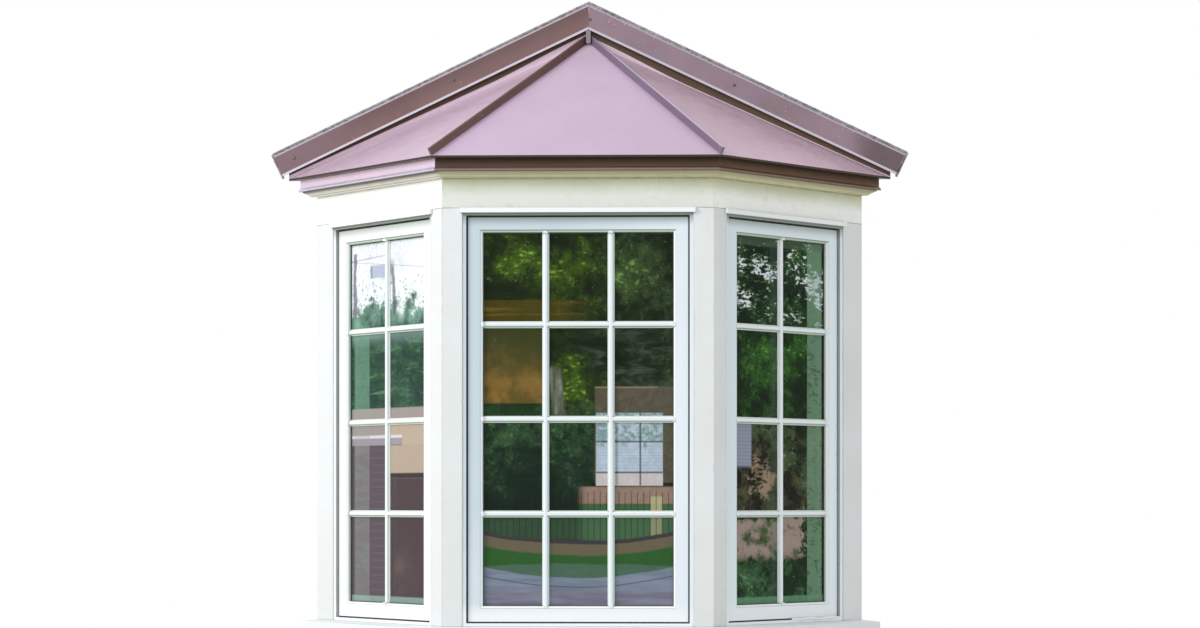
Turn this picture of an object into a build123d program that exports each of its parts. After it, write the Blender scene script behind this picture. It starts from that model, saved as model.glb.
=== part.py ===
from build123d import *
import math
import os

# A canted bay window under a three-sided sheet-metal roof, in millimetres.
# X runs to the viewer's right, Y into the house, Z up. The house wall is the plane Y = 0.
# The origin is the centre of the back of the wall ledger, the flat face that bolts to the wall.
# Along each face of the bay, n is the distance outward from the trim's face.

# Plan
FRONT_WIDTH = 894.4
SIDE_LENGTH = 713.0
CANT = 45.0
FRONT_CORNER_BOARD = 64.4
SIDE_CORNER_BOARD = 56.4
END_BOARD = 91.4

# Heights
LEDGER_HEIGHT = 140.0
SEAT_THICKNESS = 32.0
HEAD_THICKNESS = 32.0
WINDOW_HEIGHT = 1376.8
FRIEZE_HEIGHT = 124.0
ROOF_RISE = 476.0

# Boards and framing
TRIM_THICKNESS = 20.0
RIM_THICKNESS = 38.0
LEDGER_THICKNESS = 38.0
RAFTER_THICKNESS = 38.0
RAFTER_DEPTH = 89.0
BOTTOM_THICKNESS = 18.0
JOINT = 0.5

# Sill and the foot of the bay
SILL_NOSE = 45.0
SILL_FALL = 6.0
SILL_DEPTH = 38.0
SILL_ROUND = 5.0
DRIP_WIDTH = 5.0
DRIP_DEPTH = 4.0
DRIP_INSET = 12.0
BASE_WIDTH = 18.0
BASE_HEIGHT = 26.0

# Windows
FRAME_SETBACK = 3.0
FRAME_DEPTH = 80.0
FRAME_FACE = 15.0
FRAME_HEAD = 24.9
FRAME_SILL = 10.4
STOP_FACE = 14.0
CAP_HEIGHT = 16.4
CAP_REACH = 12.0
CAP_HORN = 5.0
CAP_CHAMFER = 3.0
SASH_CLEARANCE = 5.0
SASH_SETBACK = 14.0
SASH_THICKNESS = 45.0
STILE = 50.5
TOP_RAIL = 52.0
BOTTOM_RAIL = 53.6
BEAD_WIDTH = 11.0
GLASS_SETBACK = 33.0
GLASS_THICKNESS = 19.0
GLASS_BITE = 10.0
GLASS_CLEARANCE = 0.3
BAR_WIDTH = 22.7
BAR_FACE = 9.0
BAR_OUTSIDE = 12.0
BAR_INSIDE = 7.0
FRONT_PANES = 3
SIDE_PANES = 2
PANE_ROWS = 4

# Cornice
MOULDING_DROP = 26.3
MOULDING_FOOT = 14.0
MOULDING_REACH = 37.0
MOULDING_FILLET = 3.0
FASCIA_OUT = 42.0
FASCIA_THICKNESS = 20.0
FASCIA_DROP = 7.3
FASCIA_HEIGHT = 39.0
FASCIA_LIP = 5.0
FASCIA_LIP_SLOPE = 7.0
FASCIA_LIP_PROUD = 5.0

# Roof
EAVE_OVERHANG = 70.0
EAVE_EDGE = 7.0
SHEET = 1.5
FLANGE_WIDTH = 40.0
DECK_THICKNESS = 15.0
DECK_GAP = 3.0
SEAM_HEIGHT = 23.0
SEAM_THICKNESS = 9.0
SEAM_START = 5.0
SEAM_END = 12.0
UPSTAND = 80.0
CAP_HALF = 8.0
CAP_FRONT = 28.0
CAP_RISE = 34.0

# Wall flashing
FLASHING_WIDTH = 84.0
FLASHING_STANDOFF = 20.0
FLASHING_REACH = 17.0
FLASHING_END_LIFT = 6.0
FLASHING_APEX_LIFT = 38.0
FLASHING_KICK = 10.0
FLASHING_TOE = 2.0
HEM_WIDTH = 9.0
HEM_OUT = 6.0
SEALANT_WIDTH = 9.0
SEALANT_THICKNESS = 7.0
SEALANT_TAIL = 4.0
BATTEN_WIDTH = 40.0
BATTEN_LIFT = 15.0

# Worked out from the sizes above
ANGLE = math.radians(CANT)
HALF = FRONT_WIDTH / 2
PROJECTION = SIDE_LENGTH * math.sin(ANGLE)
MITRE = math.tan(ANGLE / 2)
FAR = 4000.0

Z_LEDGER = -LEDGER_HEIGHT / 2
Z_SEAT = LEDGER_HEIGHT / 2
Z_WINDOW = Z_SEAT + SEAT_THICKNESS
Z_HEAD = Z_WINDOW + WINDOW_HEIGHT
Z_RIM = Z_HEAD + HEAD_THICKNESS
Z_CORNICE = Z_HEAD + FRIEZE_HEIGHT
Z_SILL = Z_WINDOW - SILL_DEPTH
Z_FOOT = Z_LEDGER - BOTTOM_THICKNESS
Z_FASCIA = Z_CORNICE - FASCIA_DROP
Z_FLANGE = Z_FASCIA + FASCIA_HEIGHT
Z_EAVE = Z_FLANGE + EAVE_EDGE
Z_APEX = Z_EAVE + ROOF_RISE

FRAME_BACK = FRAME_SETBACK + FRAME_DEPTH
FRONT_WINDOW = FRONT_WIDTH - 2 * FRONT_CORNER_BOARD
SIDE_WINDOW = SIDE_LENGTH - SIDE_CORNER_BOARD - END_BOARD

# Faces of the bay: a point on the trim's face, the direction along it and the outward normal
FRONT = {"at": Vector(0, -PROJECTION, 0), "along": Vector(1, 0, 0), "out": Vector(0, -1, 0)}
SIDE = {
    "at": Vector(HALF, -PROJECTION, 0),
    "along": Vector(math.cos(ANGLE), math.sin(ANGLE), 0),
    "out": Vector(math.sin(ANGLE), -math.cos(ANGLE), 0),
}

WALL_PLANE = Plane(origin=(0, 0, 0), z_dir=(0, -1, 0))
CENTRE_PLANE = Plane(origin=(0, 0, 0), z_dir=(1, 0, 0))
EAVE_CORNER = Vector(HALF + EAVE_OVERHANG * MITRE, -PROJECTION - EAVE_OVERHANG, Z_EAVE)
HIP_RUN = Vector(EAVE_CORNER.X, EAVE_CORNER.Y, 0)
APEX = Vector(0, 0, Z_APEX)


def keep(shape, plane, back=0.0):
    """The part of a shape in front of a plane, after the plane moves back by that much."""
    moved = Plane(origin=plane.origin - plane.z_dir * back, z_dir=plane.z_dir)
    return split(shape, bisect_by=moved, keep=Keep.TOP)


def flipped(plane):
    """The same plane, facing the other way."""
    return Plane(origin=plane.origin, z_dir=plane.z_dir * -1)


def mirrored(shape):
    """The left-hand twin of a right-hand piece."""
    return mirror(shape, about=Plane.YZ)


def mitre_plane():
    """The upright plane that bisects the right-hand corner, facing the side."""
    return Plane(origin=SIDE["at"], z_dir=(math.cos(ANGLE / 2), math.sin(ANGLE / 2), 0))


def hip_plane():
    """The upright plane through the right-hand hip, facing the side."""
    return Plane(origin=(0, 0, 0), z_dir=(-EAVE_CORNER.Y, EAVE_CORNER.X, 0))


def depth_plane(face, n):
    """The upright plane at distance n outward from a face, facing outward."""
    return Plane(origin=face["at"] + face["out"] * n, z_dir=face["out"])


def station_plane(face, s):
    """The upright plane square to a face at distance s along it, facing along it."""
    return Plane(origin=face["at"] + face["along"] * s, z_dir=face["along"])


def run(face, profile):
    """A long bar whose section is a closed face drawn in (n, z), laid along one face of the bay."""
    section = Plane(origin=face["at"], x_dir=face["out"], z_dir=face["along"] * -1)
    return extrude(section * profile, amount=FAR / 2, both=True)


def outline(*points):
    """A closed face from a list of corners."""
    return make_face(Polyline(*points, close=True))


def strip(n0, n1, z0, z1):
    """The rectangular section of a board, in (n, z)."""
    return outline((n0, z0), (n1, z0), (n1, z1), (n0, z1))


def front_run(profile, gap=0.0):
    """A bar along the front, mitred at both corners."""
    bar = keep(run(FRONT, profile), flipped(mitre_plane()), -gap / 2)
    return keep(bar, mirror_plane(mitre_plane()), -gap / 2)


def side_run(profile, gap=0.0):
    """A bar along the right-hand side, mitred at the corner and cut flush with the wall."""
    return keep(keep(run(SIDE, profile), mitre_plane(), -gap / 2), WALL_PLANE)


def mirror_plane(plane):
    """The left-hand twin of an upright cutting plane, keeping the part nearer the centre."""
    return Plane(
        origin=(-plane.origin.X, plane.origin.Y, plane.origin.Z),
        z_dir=(plane.z_dir.X, -plane.z_dir.Y, plane.z_dir.Z),
    )


def around(profile, gap=0.0):
    """The front, left and right bars of one trim that goes round the bay."""
    right = side_run(profile, gap)
    return {"front": front_run(profile, gap), "left": mirrored(right), "right": right}


def together(solids):
    """Like pieces that stand clear of each other, as one node."""
    return Compound(children=list(solids))


def board_outline(inset):
    """The bay's plan, drawn back from the trim's face, as a flat face."""
    corner_x = HALF - inset * MITRE
    front_y = -PROJECTION + inset
    wall_x = HALF + PROJECTION / math.tan(ANGLE) - inset / math.sin(ANGLE)
    return outline((-wall_x, 0), (-corner_x, front_y), (corner_x, front_y), (wall_x, 0))


def flat_board(inset, z, thickness):
    """A board that fills the plan of the bay."""
    return extrude(Location((0, 0, z)) * board_outline(inset), amount=thickness)


def wall_board(z0, z1):
    """A board on edge against the wall, between the side rims."""
    blank = Location((0, -LEDGER_THICKNESS / 2, (z0 + z1) / 2)) * Box(FAR, LEDGER_THICKNESS, z1 - z0)
    inside = TRIM_THICKNESS + RIM_THICKNESS
    rim_face = depth_plane(SIDE, -inside)
    return keep(keep(blank, flipped(rim_face), -JOINT), mirror_plane(rim_face), -JOINT)


# Foot, sill and boards

def sill_section():
    """A sloped sill with a rounded nose and a drip groove."""
    nose_top = Z_WINDOW - SILL_FALL
    drip_out = SILL_NOSE - DRIP_INSET
    drip_in = drip_out - DRIP_WIDTH
    body = outline(
        (-TRIM_THICKNESS, Z_SILL), (-TRIM_THICKNESS, Z_WINDOW), (0, Z_WINDOW),
        (SILL_NOSE, nose_top), (SILL_NOSE, Z_SILL),
        (drip_out, Z_SILL), (drip_out, Z_SILL + DRIP_DEPTH),
        (drip_in, Z_SILL + DRIP_DEPTH), (drip_in, Z_SILL),
    )
    nose = body.vertices().sort_by(Axis.X)[-2:]
    return fillet(nose, SILL_ROUND)


def base_section():
    """The moulding at the foot: an ogee that leans out to a square toe."""
    top = Z_FOOT + BASE_HEIGHT
    square = BASE_HEIGHT / 4
    edge = (
        Line((0, Z_FOOT), (BASE_WIDTH, Z_FOOT))
        + Line((BASE_WIDTH, Z_FOOT), (BASE_WIDTH, Z_FOOT + square))
        + Spline(
            (BASE_WIDTH, Z_FOOT + square), (0, top),
            tangents=((-1, 0), (-1, 0)),
        )
        + Line((0, top), (0, Z_FOOT))
    )
    return make_face(edge)


def make_foot():
    """Bottom board, apron, base moulding, rims and the ledger that bolts to the wall."""
    nodes = {}
    nodes["bottom_board"] = flat_board(TRIM_THICKNESS, Z_FOOT, BOTTOM_THICKNESS)
    nodes["wall_ledger"] = wall_board(Z_LEDGER, Z_SEAT)
    rims = around(strip(-TRIM_THICKNESS - RIM_THICKNESS, -TRIM_THICKNESS, Z_LEDGER, Z_SEAT), JOINT)
    nodes["seat_rims"] = together(rims.values())
    nodes["apron_boards"] = together(around(strip(-TRIM_THICKNESS, 0, Z_FOOT, Z_SILL), JOINT).values())
    nodes["base_mouldings"] = together(around(base_section(), JOINT).values())
    return nodes


def make_boards():
    """Seat board, head board and the sill round the outside."""
    nodes = {}
    nodes["seat_board"] = flat_board(TRIM_THICKNESS, Z_SEAT, SEAT_THICKNESS)
    nodes["head_board"] = flat_board(TRIM_THICKNESS, Z_HEAD, HEAD_THICKNESS)
    for name, bar in around(sill_section()).items():
        nodes["sill_" + name] = bar
    return nodes


# Posts and upright trim

def make_uprights():
    """Posts between the windows, the corner boards over them and the end boards at the wall."""
    nodes = {}
    frame_end = SIDE_LENGTH - END_BOARD
    front_edge = station_plane(FRONT, FRONT_WINDOW / 2)
    side_edge = flipped(station_plane(SIDE, SIDE_CORNER_BOARD))
    wall_edge = station_plane(SIDE, frame_end)

    post = strip(-FRAME_BACK, -TRIM_THICKNESS, Z_WINDOW, Z_HEAD)
    front_post = keep(front_run(post, JOINT), front_edge)
    side_post = keep(side_run(post, JOINT), side_edge)
    wall_post = keep(side_run(post), wall_edge)
    trim = strip(-TRIM_THICKNESS, 0, Z_WINDOW, Z_HEAD)
    front_board = keep(front_run(trim, JOINT), front_edge)
    side_board = keep(side_run(trim, JOINT), side_edge)
    end_board = keep(side_run(trim), wall_edge)

    right = {
        "corner_post": together([front_post, side_post]),
        "wall_post": wall_post,
        "corner_boards": together([front_board, side_board]),
        "end_board": end_board,
    }
    for name, piece in right.items():
        nodes[name + "_left"] = mirrored(piece)
        nodes[name + "_right"] = piece
    return nodes


# Windows, drawn in a local frame: x along the face, y inward from the trim's face, z up

def block(x0, x1, y0, y1, z0, z1):
    """A box between two corners."""
    size = Box(x1 - x0, y1 - y0, z1 - z0)
    return Location(((x0 + x1) / 2, (y0 + y1) / 2, (z0 + z1) / 2)) * size


def window_frame(width):
    """A frame with a stop behind the sash and a drip cap over its head."""
    half = width / 2
    y_stop = SASH_SETBACK + SASH_THICKNESS
    outer = block(-half, half, FRAME_SETBACK, FRAME_BACK, Z_WINDOW, Z_HEAD)
    pocket_half = half - FRAME_FACE
    pocket_low = Z_WINDOW + FRAME_SILL
    pocket_high = Z_HEAD - FRAME_HEAD
    pocket = block(-pocket_half, pocket_half, FRAME_SETBACK - 1, y_stop, pocket_low, pocket_high)
    through = block(
        -pocket_half + STOP_FACE, pocket_half - STOP_FACE, y_stop - 1, FRAME_BACK + 1,
        pocket_low + STOP_FACE, pocket_high - STOP_FACE,
    )
    neck = block(-half, half, 0, FRAME_SETBACK, Z_HEAD - CAP_HEIGHT, Z_HEAD)
    cap = block(-half - CAP_HORN, half + CAP_HORN, -CAP_REACH, 0, Z_HEAD - CAP_HEIGHT, Z_HEAD)
    cap = chamfer(cap.edges().filter_by(Axis.X).group_by(Axis.Y)[0].sort_by(Axis.Z)[-1], CAP_CHAMFER)
    return outer - pocket - through + neck + cap


def glass_opening(width):
    """The sight size of the glass: half width, bottom and top."""
    half = width / 2 - FRAME_FACE - SASH_CLEARANCE - STILE
    low = Z_WINDOW + FRAME_SILL + SASH_CLEARANCE + BOTTOM_RAIL
    high = Z_HEAD - FRAME_HEAD - SASH_CLEARANCE - TOP_RAIL
    return half, low, high


def upright_face(y, half, low, high):
    """A rectangle that stands at one depth."""
    plane = Plane(origin=(0, y, (low + high) / 2), x_dir=(1, 0, 0), z_dir=(0, 1, 0))
    return (plane * Rectangle(2 * half, high - low)).face()


def sash(width):
    """A sash rabbeted round its glass, with a sloped glazing bead outside."""
    half, low, high = glass_opening(width)
    y0 = SASH_SETBACK
    y1 = SASH_SETBACK + SASH_THICKNESS
    outer = block(-half - STILE, half + STILE, y0, y1, low - BOTTOM_RAIL, high + TOP_RAIL)
    sight = block(-half, half, y0 - 1, y1 + 1, low, high)
    groove = block(
        -half - GLASS_BITE, half + GLASS_BITE, GLASS_SETBACK, GLASS_SETBACK + GLASS_THICKNESS,
        low - GLASS_BITE, high + GLASS_BITE,
    )
    wide = upright_face(y0, half + BEAD_WIDTH, low - BEAD_WIDTH, high + BEAD_WIDTH)
    narrow = upright_face(GLASS_SETBACK, half, low, high)
    splay = loft([wide, narrow])
    return outer - sight - groove - splay


def pane(width):
    """The sealed glass unit, held in the sash's rabbet."""
    half, low, high = glass_opening(width)
    edge = GLASS_BITE - GLASS_CLEARANCE
    return block(
        -half - edge, half + edge, GLASS_SETBACK, GLASS_SETBACK + GLASS_THICKNESS,
        low - edge, high + edge,
    )


def bar(length, reach):
    """One glazing bar along x: wide at the glass at y = 0 and narrow at its face."""
    section = outline(
        (0, -BAR_WIDTH / 2), (0, BAR_WIDTH / 2), (-reach, BAR_FACE / 2), (-reach, -BAR_FACE / 2),
    )
    plane = Plane(origin=(0, 0, 0), x_dir=(0, 1, 0), z_dir=(1, 0, 0))
    return extrude(plane * section, amount=length / 2, both=True)


def lattice(width, columns, reach):
    """Crossing bars that divide one sight opening into equal panes, outside the plane y = 0."""
    half, low, high = glass_opening(width)
    pane_width = (2 * half - (columns - 1) * BAR_WIDTH) / columns
    pane_height = (high - low - (PANE_ROWS - 1) * BAR_WIDTH) / PANE_ROWS
    bars = []
    for row in range(1, PANE_ROWS):
        z = low + row * (pane_height + BAR_WIDTH) - BAR_WIDTH / 2
        bars.append(Location((0, 0, z)) * bar(2 * half, reach))
    upright = Rotation(0, 90, 0) * bar(high - low, reach)
    for column in range(1, columns):
        x = -half + column * (pane_width + BAR_WIDTH) - BAR_WIDTH / 2
        bars.append(Location((x, 0, (low + high) / 2)) * upright)
    grid = bars[0]
    for piece in bars[1:]:
        grid = grid + piece
    return grid


def grille(width, columns):
    """The bars outside the glass and the matching bars inside."""
    outside = Location((0, GLASS_SETBACK, 0)) * lattice(width, columns, BAR_OUTSIDE)
    flipped_grid = mirror(lattice(width, columns, BAR_INSIDE), about=Plane.XZ)
    inside = Location((0, GLASS_SETBACK + GLASS_THICKNESS, 0)) * flipped_grid
    return together([outside, inside])


def make_windows():
    """Frame, sash, glass and bars of the three windows."""
    middle = SIDE_CORNER_BOARD + SIDE_WINDOW / 2
    places = {
        "front": (FRONT, 0, FRONT_WINDOW, FRONT_PANES),
        "side": (SIDE, middle, SIDE_WINDOW, SIDE_PANES),
    }
    nodes = {}
    for name, (face, s, width, columns) in places.items():
        spot = Location(Plane(origin=face["at"] + face["along"] * s, x_dir=face["along"], z_dir=(0, 0, 1)))
        pieces = {
            "window_frame": window_frame(width),
            "sash": sash(width),
            "glass": pane(width),
            "bars": grille(width, columns),
        }
        for piece_name, piece in pieces.items():
            placed = spot * piece
            if name == "front":
                nodes[piece_name + "_front"] = placed
            else:
                nodes[piece_name + "_left"] = mirrored(placed)
                nodes[piece_name + "_right"] = placed
    return nodes


# Cornice

def moulding_section():
    """The bed moulding: a cove between two fillets, tucked behind the fascia."""
    low = Z_CORNICE - MOULDING_DROP
    back = FASCIA_OUT - FASCIA_THICKNESS
    start = (MOULDING_FOOT, low + MOULDING_FILLET)
    end = (MOULDING_REACH - MOULDING_FILLET, Z_FASCIA - MOULDING_FILLET)
    edge = (
        Line((0, low), (MOULDING_FOOT, low))
        + Line((MOULDING_FOOT, low), start)
        + TangentArc(start, end, tangent=(0, 1))
        + Line(end, (MOULDING_REACH, Z_FASCIA - MOULDING_FILLET))
        + Line((MOULDING_REACH, Z_FASCIA - MOULDING_FILLET), (MOULDING_REACH, Z_FASCIA))
        + Line((MOULDING_REACH, Z_FASCIA), (back, Z_FASCIA))
        + Line((back, Z_FASCIA), (back, Z_CORNICE))
        + Line((back, Z_CORNICE), (0, Z_CORNICE))
        + Line((0, Z_CORNICE), (0, low))
    )
    return make_face(edge)


def fascia_section():
    """The clad fascia, kicked out to a lip along its lower edge."""
    back = FASCIA_OUT - FASCIA_THICKNESS
    lip = FASCIA_OUT + FASCIA_LIP_PROUD
    return outline(
        (back, Z_FASCIA), (lip, Z_FASCIA), (lip, Z_FASCIA + FASCIA_LIP),
        (FASCIA_OUT, Z_FASCIA + FASCIA_LIP + FASCIA_LIP_SLOPE), (FASCIA_OUT, Z_FLANGE), (back, Z_FLANGE),
    )


def make_cornice():
    """Head rims, frieze, bed moulding and fascia."""
    nodes = {}
    rims = around(strip(-TRIM_THICKNESS - RIM_THICKNESS, -TRIM_THICKNESS, Z_RIM, Z_CORNICE), JOINT)
    nodes["head_rims"] = together([*rims.values(), wall_board(Z_RIM, Z_CORNICE)])
    nodes["bed_mouldings"] = together(around(moulding_section(), JOINT).values())
    for name, board in around(strip(-TRIM_THICKNESS, 0, Z_HEAD, Z_CORNICE)).items():
        nodes["frieze_" + name] = board
    for name, board in around(fascia_section()).items():
        nodes["fascia_" + name] = board
    return nodes


# Roof

def face_distance(face):
    """How far a face's trim lies from the foot of the apex, in plan."""
    return face["at"].X * face["out"].X + face["at"].Y * face["out"].Y


def roof_slope(face):
    """The slope of the roof over a face, in radians."""
    return math.atan2(ROOF_RISE, face_distance(face) + EAVE_OVERHANG)


def roof_plane(face, depth=0.0):
    """The top of the roof over a face, lowered square to itself by a depth, facing up."""
    slope = roof_slope(face)
    normal = face["out"] * math.sin(slope) + Vector(0, 0, 1) * math.cos(slope)
    return Plane(origin=APEX - normal * depth, z_dir=normal)


def wedge(face, shape, gap=0.0):
    """The part of a shape inside one roof face, between its hips or between hip and wall."""
    if face is FRONT:
        shape = keep(shape, flipped(hip_plane()), -gap / 2)
        return keep(shape, mirror_plane(hip_plane()), -gap / 2)
    return keep(keep(shape, hip_plane(), -gap / 2), WALL_PLANE)


def layer(face, top, bottom, edge, gap=0.0):
    """A roof layer between two depths, out to a given distance from the trim's face."""
    middle = (Z_EAVE + Z_APEX) / 2
    blank = Location((0, 0, middle)) * Box(FAR, FAR, ROOF_RISE * 2)
    blank = keep(keep(blank, flipped(roof_plane(face, top))), roof_plane(face, bottom))
    return wedge(face, keep(blank, flipped(depth_plane(face, edge))), gap)


def eave_at_wall():
    """How far from the centre the right-hand eave meets the wall."""
    return (face_distance(SIDE) + EAVE_OVERHANG) / math.sin(ANGLE)


def hem(face):
    """The folded edge of a roof panel: down at the eave and back under it to the fascia."""
    rise = SHEET * math.tan(roof_slope(face))
    inner = EAVE_OVERHANG - SHEET
    back = EAVE_OVERHANG - FLANGE_WIDTH
    section = outline(
        (EAVE_OVERHANG, Z_EAVE), (inner, Z_EAVE + rise), (inner, Z_FLANGE + SHEET),
        (back, Z_FLANGE + SHEET), (back, Z_FLANGE), (EAVE_OVERHANG, Z_FLANGE),
    )
    return wedge(face, run(face, section))


def upstand():
    """The edge of the right-hand panel that turns up against the wall, behind the flashing."""
    far = eave_at_wall()
    plane = Plane(origin=(0, 0, 0), x_dir=(1, 0, 0), z_dir=(0, -1, 0))
    face = outline(
        (0, Z_APEX - SHEET), (far, Z_EAVE - SHEET), (far, Z_EAVE + UPSTAND / 2), (0, Z_APEX + UPSTAND),
    )
    leaf = extrude(plane * face, amount=SHEET)
    return keep(leaf, roof_plane(SIDE, SHEET / 2))


def roof_panel(face):
    """One sheet-metal panel with its folded eave."""
    panel = layer(face, 0, SHEET, EAVE_OVERHANG) + hem(face)
    if face is SIDE:
        return panel + upstand()
    return keep(panel, WALL_PLANE, -SHEET)


def deck(face):
    """The plywood under one panel, trimmed where it sits on the folded eave."""
    board = layer(face, SHEET, SHEET + DECK_THICKNESS, EAVE_OVERHANG - SHEET, DECK_GAP)
    floor = Plane(origin=(0, 0, Z_FLANGE + SHEET), z_dir=(0, 0, 1))
    board = keep(board, floor)
    if face is SIDE:
        board = keep(board, WALL_PLANE, -SHEET)
    return board


def eave_block(face):
    """The block that fills between frieze, fascia and deck."""
    top = SHEET + DECK_THICKNESS
    tall = strip(-TRIM_THICKNESS, FASCIA_OUT - FASCIA_THICKNESS, Z_CORNICE, Z_APEX)
    blank = front_run(tall, JOINT) if face is FRONT else side_run(tall, JOINT)
    under_front = keep(blank, flipped(roof_plane(FRONT, top)))
    under_right = keep(under_front, flipped(roof_plane(SIDE, top)))
    if face is SIDE:
        return under_right
    return mirrored(keep(mirrored(under_right), flipped(roof_plane(SIDE, top))))


def seam():
    """The raised seam on the right-hand hip, cut square at its foot."""
    reach = HIP_RUN.length
    down = HIP_RUN.normalized()
    slope = math.atan2(ROOF_RISE, reach)
    plane = Plane(origin=(0, 0, Z_APEX), x_dir=down, z_dir=down.cross(Vector(0, 0, 1)))
    along = Vector(math.cos(slope), -math.sin(slope))
    up = Vector(math.sin(slope), math.cos(slope))
    length = reach / math.cos(slope)
    foot = along * (length - SEAM_START)
    low = -SEAM_HEIGHT / 2
    corners = [up * low, foot + up * low, foot + up * SEAM_HEIGHT, up * SEAM_HEIGHT]
    side_view = outline(*[(corner.X, corner.Y) for corner in corners])
    plate = extrude(plane * side_view, amount=SEAM_THICKNESS / 2, both=True)
    plate = keep(plate, roof_plane(FRONT))
    plate = keep(plate, roof_plane(SIDE))
    return keep(plate, WALL_PLANE, -SEAM_END)


def rafter_blank(direction, thickness):
    """An upright plate from the apex out along a plan direction."""
    heading = direction.normalized()
    plane = Plane(origin=(0, 0, 0), x_dir=heading, z_dir=heading.cross(Vector(0, 0, 1)))
    side_view = outline((0, Z_CORNICE), (FAR, Z_CORNICE), (FAR, Z_APEX), (0, Z_APEX))
    return extrude(plane * side_view, amount=thickness / 2, both=True)


def under_deck(shape, faces):
    """The part of a plate that lies within a rafter's depth under the deck of the faces named."""
    top = SHEET + DECK_THICKNESS
    for face in faces:
        shape = keep(shape, flipped(roof_plane(face, top)))
        shape = keep(shape, flipped(depth_plane(face, -TRIM_THICKNESS)), -JOINT)
    return shape


def hip_normal():
    """The upward normal of the hip line, in the upright plane of the hip."""
    slope = math.atan2(ROOF_RISE, HIP_RUN.length)
    return HIP_RUN.normalized() * math.sin(slope) + Vector(0, 0, 1) * math.cos(slope)


def hip_rafter(ledger_front, depth):
    """The right-hand hip rafter, backed to both roof slopes."""
    plate = under_deck(rafter_blank(HIP_RUN, RAFTER_THICKNESS), (FRONT, SIDE))
    plate = keep(plate, ledger_front, -JOINT)
    return keep(plate, Plane(origin=APEX, z_dir=hip_normal()), depth)


def middle_rafter(ledger_front, depth):
    """The rafter under the middle of the front, cut to fit between the hips."""
    plate = under_deck(rafter_blank(Vector(0, -1, 0), RAFTER_THICKNESS), (FRONT,))
    plate = keep(keep(plate, roof_plane(FRONT, depth)), ledger_front, -JOINT)
    cheek = rafter_blank(HIP_RUN, RAFTER_THICKNESS + 2 * JOINT)
    return plate - cheek - mirrored(cheek)


def wall_rafter(depth):
    """The right-hand rafter that lies against the wall under the flashing."""
    plate = block(0, FAR / 2, -LEDGER_THICKNESS, 0, Z_CORNICE, Z_APEX)
    plate = under_deck(plate, (SIDE,))
    plate = keep(plate, flipped(roof_plane(FRONT, SHEET + DECK_THICKNESS)))
    return keep(keep(plate, roof_plane(SIDE, depth)), CENTRE_PLANE, -JOINT / 2)


def make_rafters():
    """Two hip rafters, the middle rafter and the two rafters against the wall."""
    depth = SHEET + DECK_THICKNESS + RAFTER_DEPTH
    ledger_front = Plane(origin=(0, -LEDGER_THICKNESS, 0), z_dir=(0, -1, 0))
    hip = hip_rafter(ledger_front, depth)
    wall = wall_rafter(depth)
    middle = middle_rafter(ledger_front, depth)
    return {"rafters": together([mirrored(hip), hip, middle, mirrored(wall), wall])}


def apex_cap(right_seam):
    """The small closure that stands between the seams' ends, up under the flashing."""
    low = Z_APEX - SEAM_HEIGHT
    cap = block(-CAP_HALF, CAP_HALF, -CAP_FRONT, -SHEET, low, Z_APEX + CAP_RISE)
    cap = keep(cap, roof_plane(FRONT))
    cap = keep(cap, roof_plane(SIDE))
    cap = mirrored(keep(mirrored(cap), roof_plane(SIDE)))
    return cap - right_seam - mirrored(right_seam)


# Wall flashing

def rake():
    """The flashing's lower edge: its foot, its direction uphill and its length to the centre."""
    foot = Vector(eave_at_wall() + FLASHING_REACH, 0, Z_EAVE + FLASHING_END_LIFT)
    top = Vector(0, 0, Z_APEX + FLASHING_APEX_LIFT)
    return foot, (top - foot).normalized(), (top - foot).length


def rake_run(section, start):
    """A bar along the right-hand rake from a distance up its foot, mitred over the apex."""
    foot, uphill, length = rake()
    plane = Plane(origin=foot + uphill * start, x_dir=(0, -1, 0), z_dir=uphill)
    length_bar = extrude(plane * section, amount=length + FLASHING_WIDTH)
    return keep(length_bar, CENTRE_PLANE, -JOINT / 2)


def flashing():
    """A sheet held off the wall: a hem kicked out below, a flat web, a kick back and a closed foot."""
    out = FLASHING_STANDOFF
    inner = out - SHEET
    lip = out + HEM_OUT
    top = FLASHING_WIDTH
    knee = top - FLASHING_KICK
    front = [(lip, 0), (out, HEM_WIDTH), (out, knee), (FLASHING_TOE, top), (0, top)]
    back = [
        (0, top - SHEET), (FLASHING_TOE - SHEET / 2, top - SHEET),
        (inner, knee - SHEET / 2), (inner, HEM_WIDTH - SHEET / 2), (lip - SHEET, 0),
    ]
    foot, uphill, _ = rake()
    plane = Plane(origin=foot, x_dir=(0, -1, 0), z_dir=uphill)
    closed_foot = extrude(plane * outline((0, 0), *front), amount=SHEET)
    return rake_run(outline(*front, *back), 0) + closed_foot


def sealant():
    """The bead that seals the flashing to the wall, along its top and down its end."""
    foot, uphill, length = rake()
    plane = Plane(origin=foot, x_dir=uphill, z_dir=(0, 1, 0))
    far = length + FLASHING_WIDTH
    bead = outline(
        (-SEALANT_WIDTH, -SEALANT_TAIL), (0, -SEALANT_TAIL), (0, FLASHING_WIDTH), (far, FLASHING_WIDTH),
        (far, FLASHING_WIDTH + SEALANT_WIDTH), (-SEALANT_WIDTH, FLASHING_WIDTH + SEALANT_WIDTH),
    )
    return keep(extrude(plane * bead, amount=-SEALANT_THICKNESS), CENTRE_PLANE, -JOINT / 2)


def batten():
    """The strip that holds the flashing off the wall."""
    section = strip(SHEET, FLASHING_STANDOFF - SHEET, BATTEN_LIFT, BATTEN_LIFT + BATTEN_WIDTH)
    return rake_run(section, FLASHING_WIDTH / 2)


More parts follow.
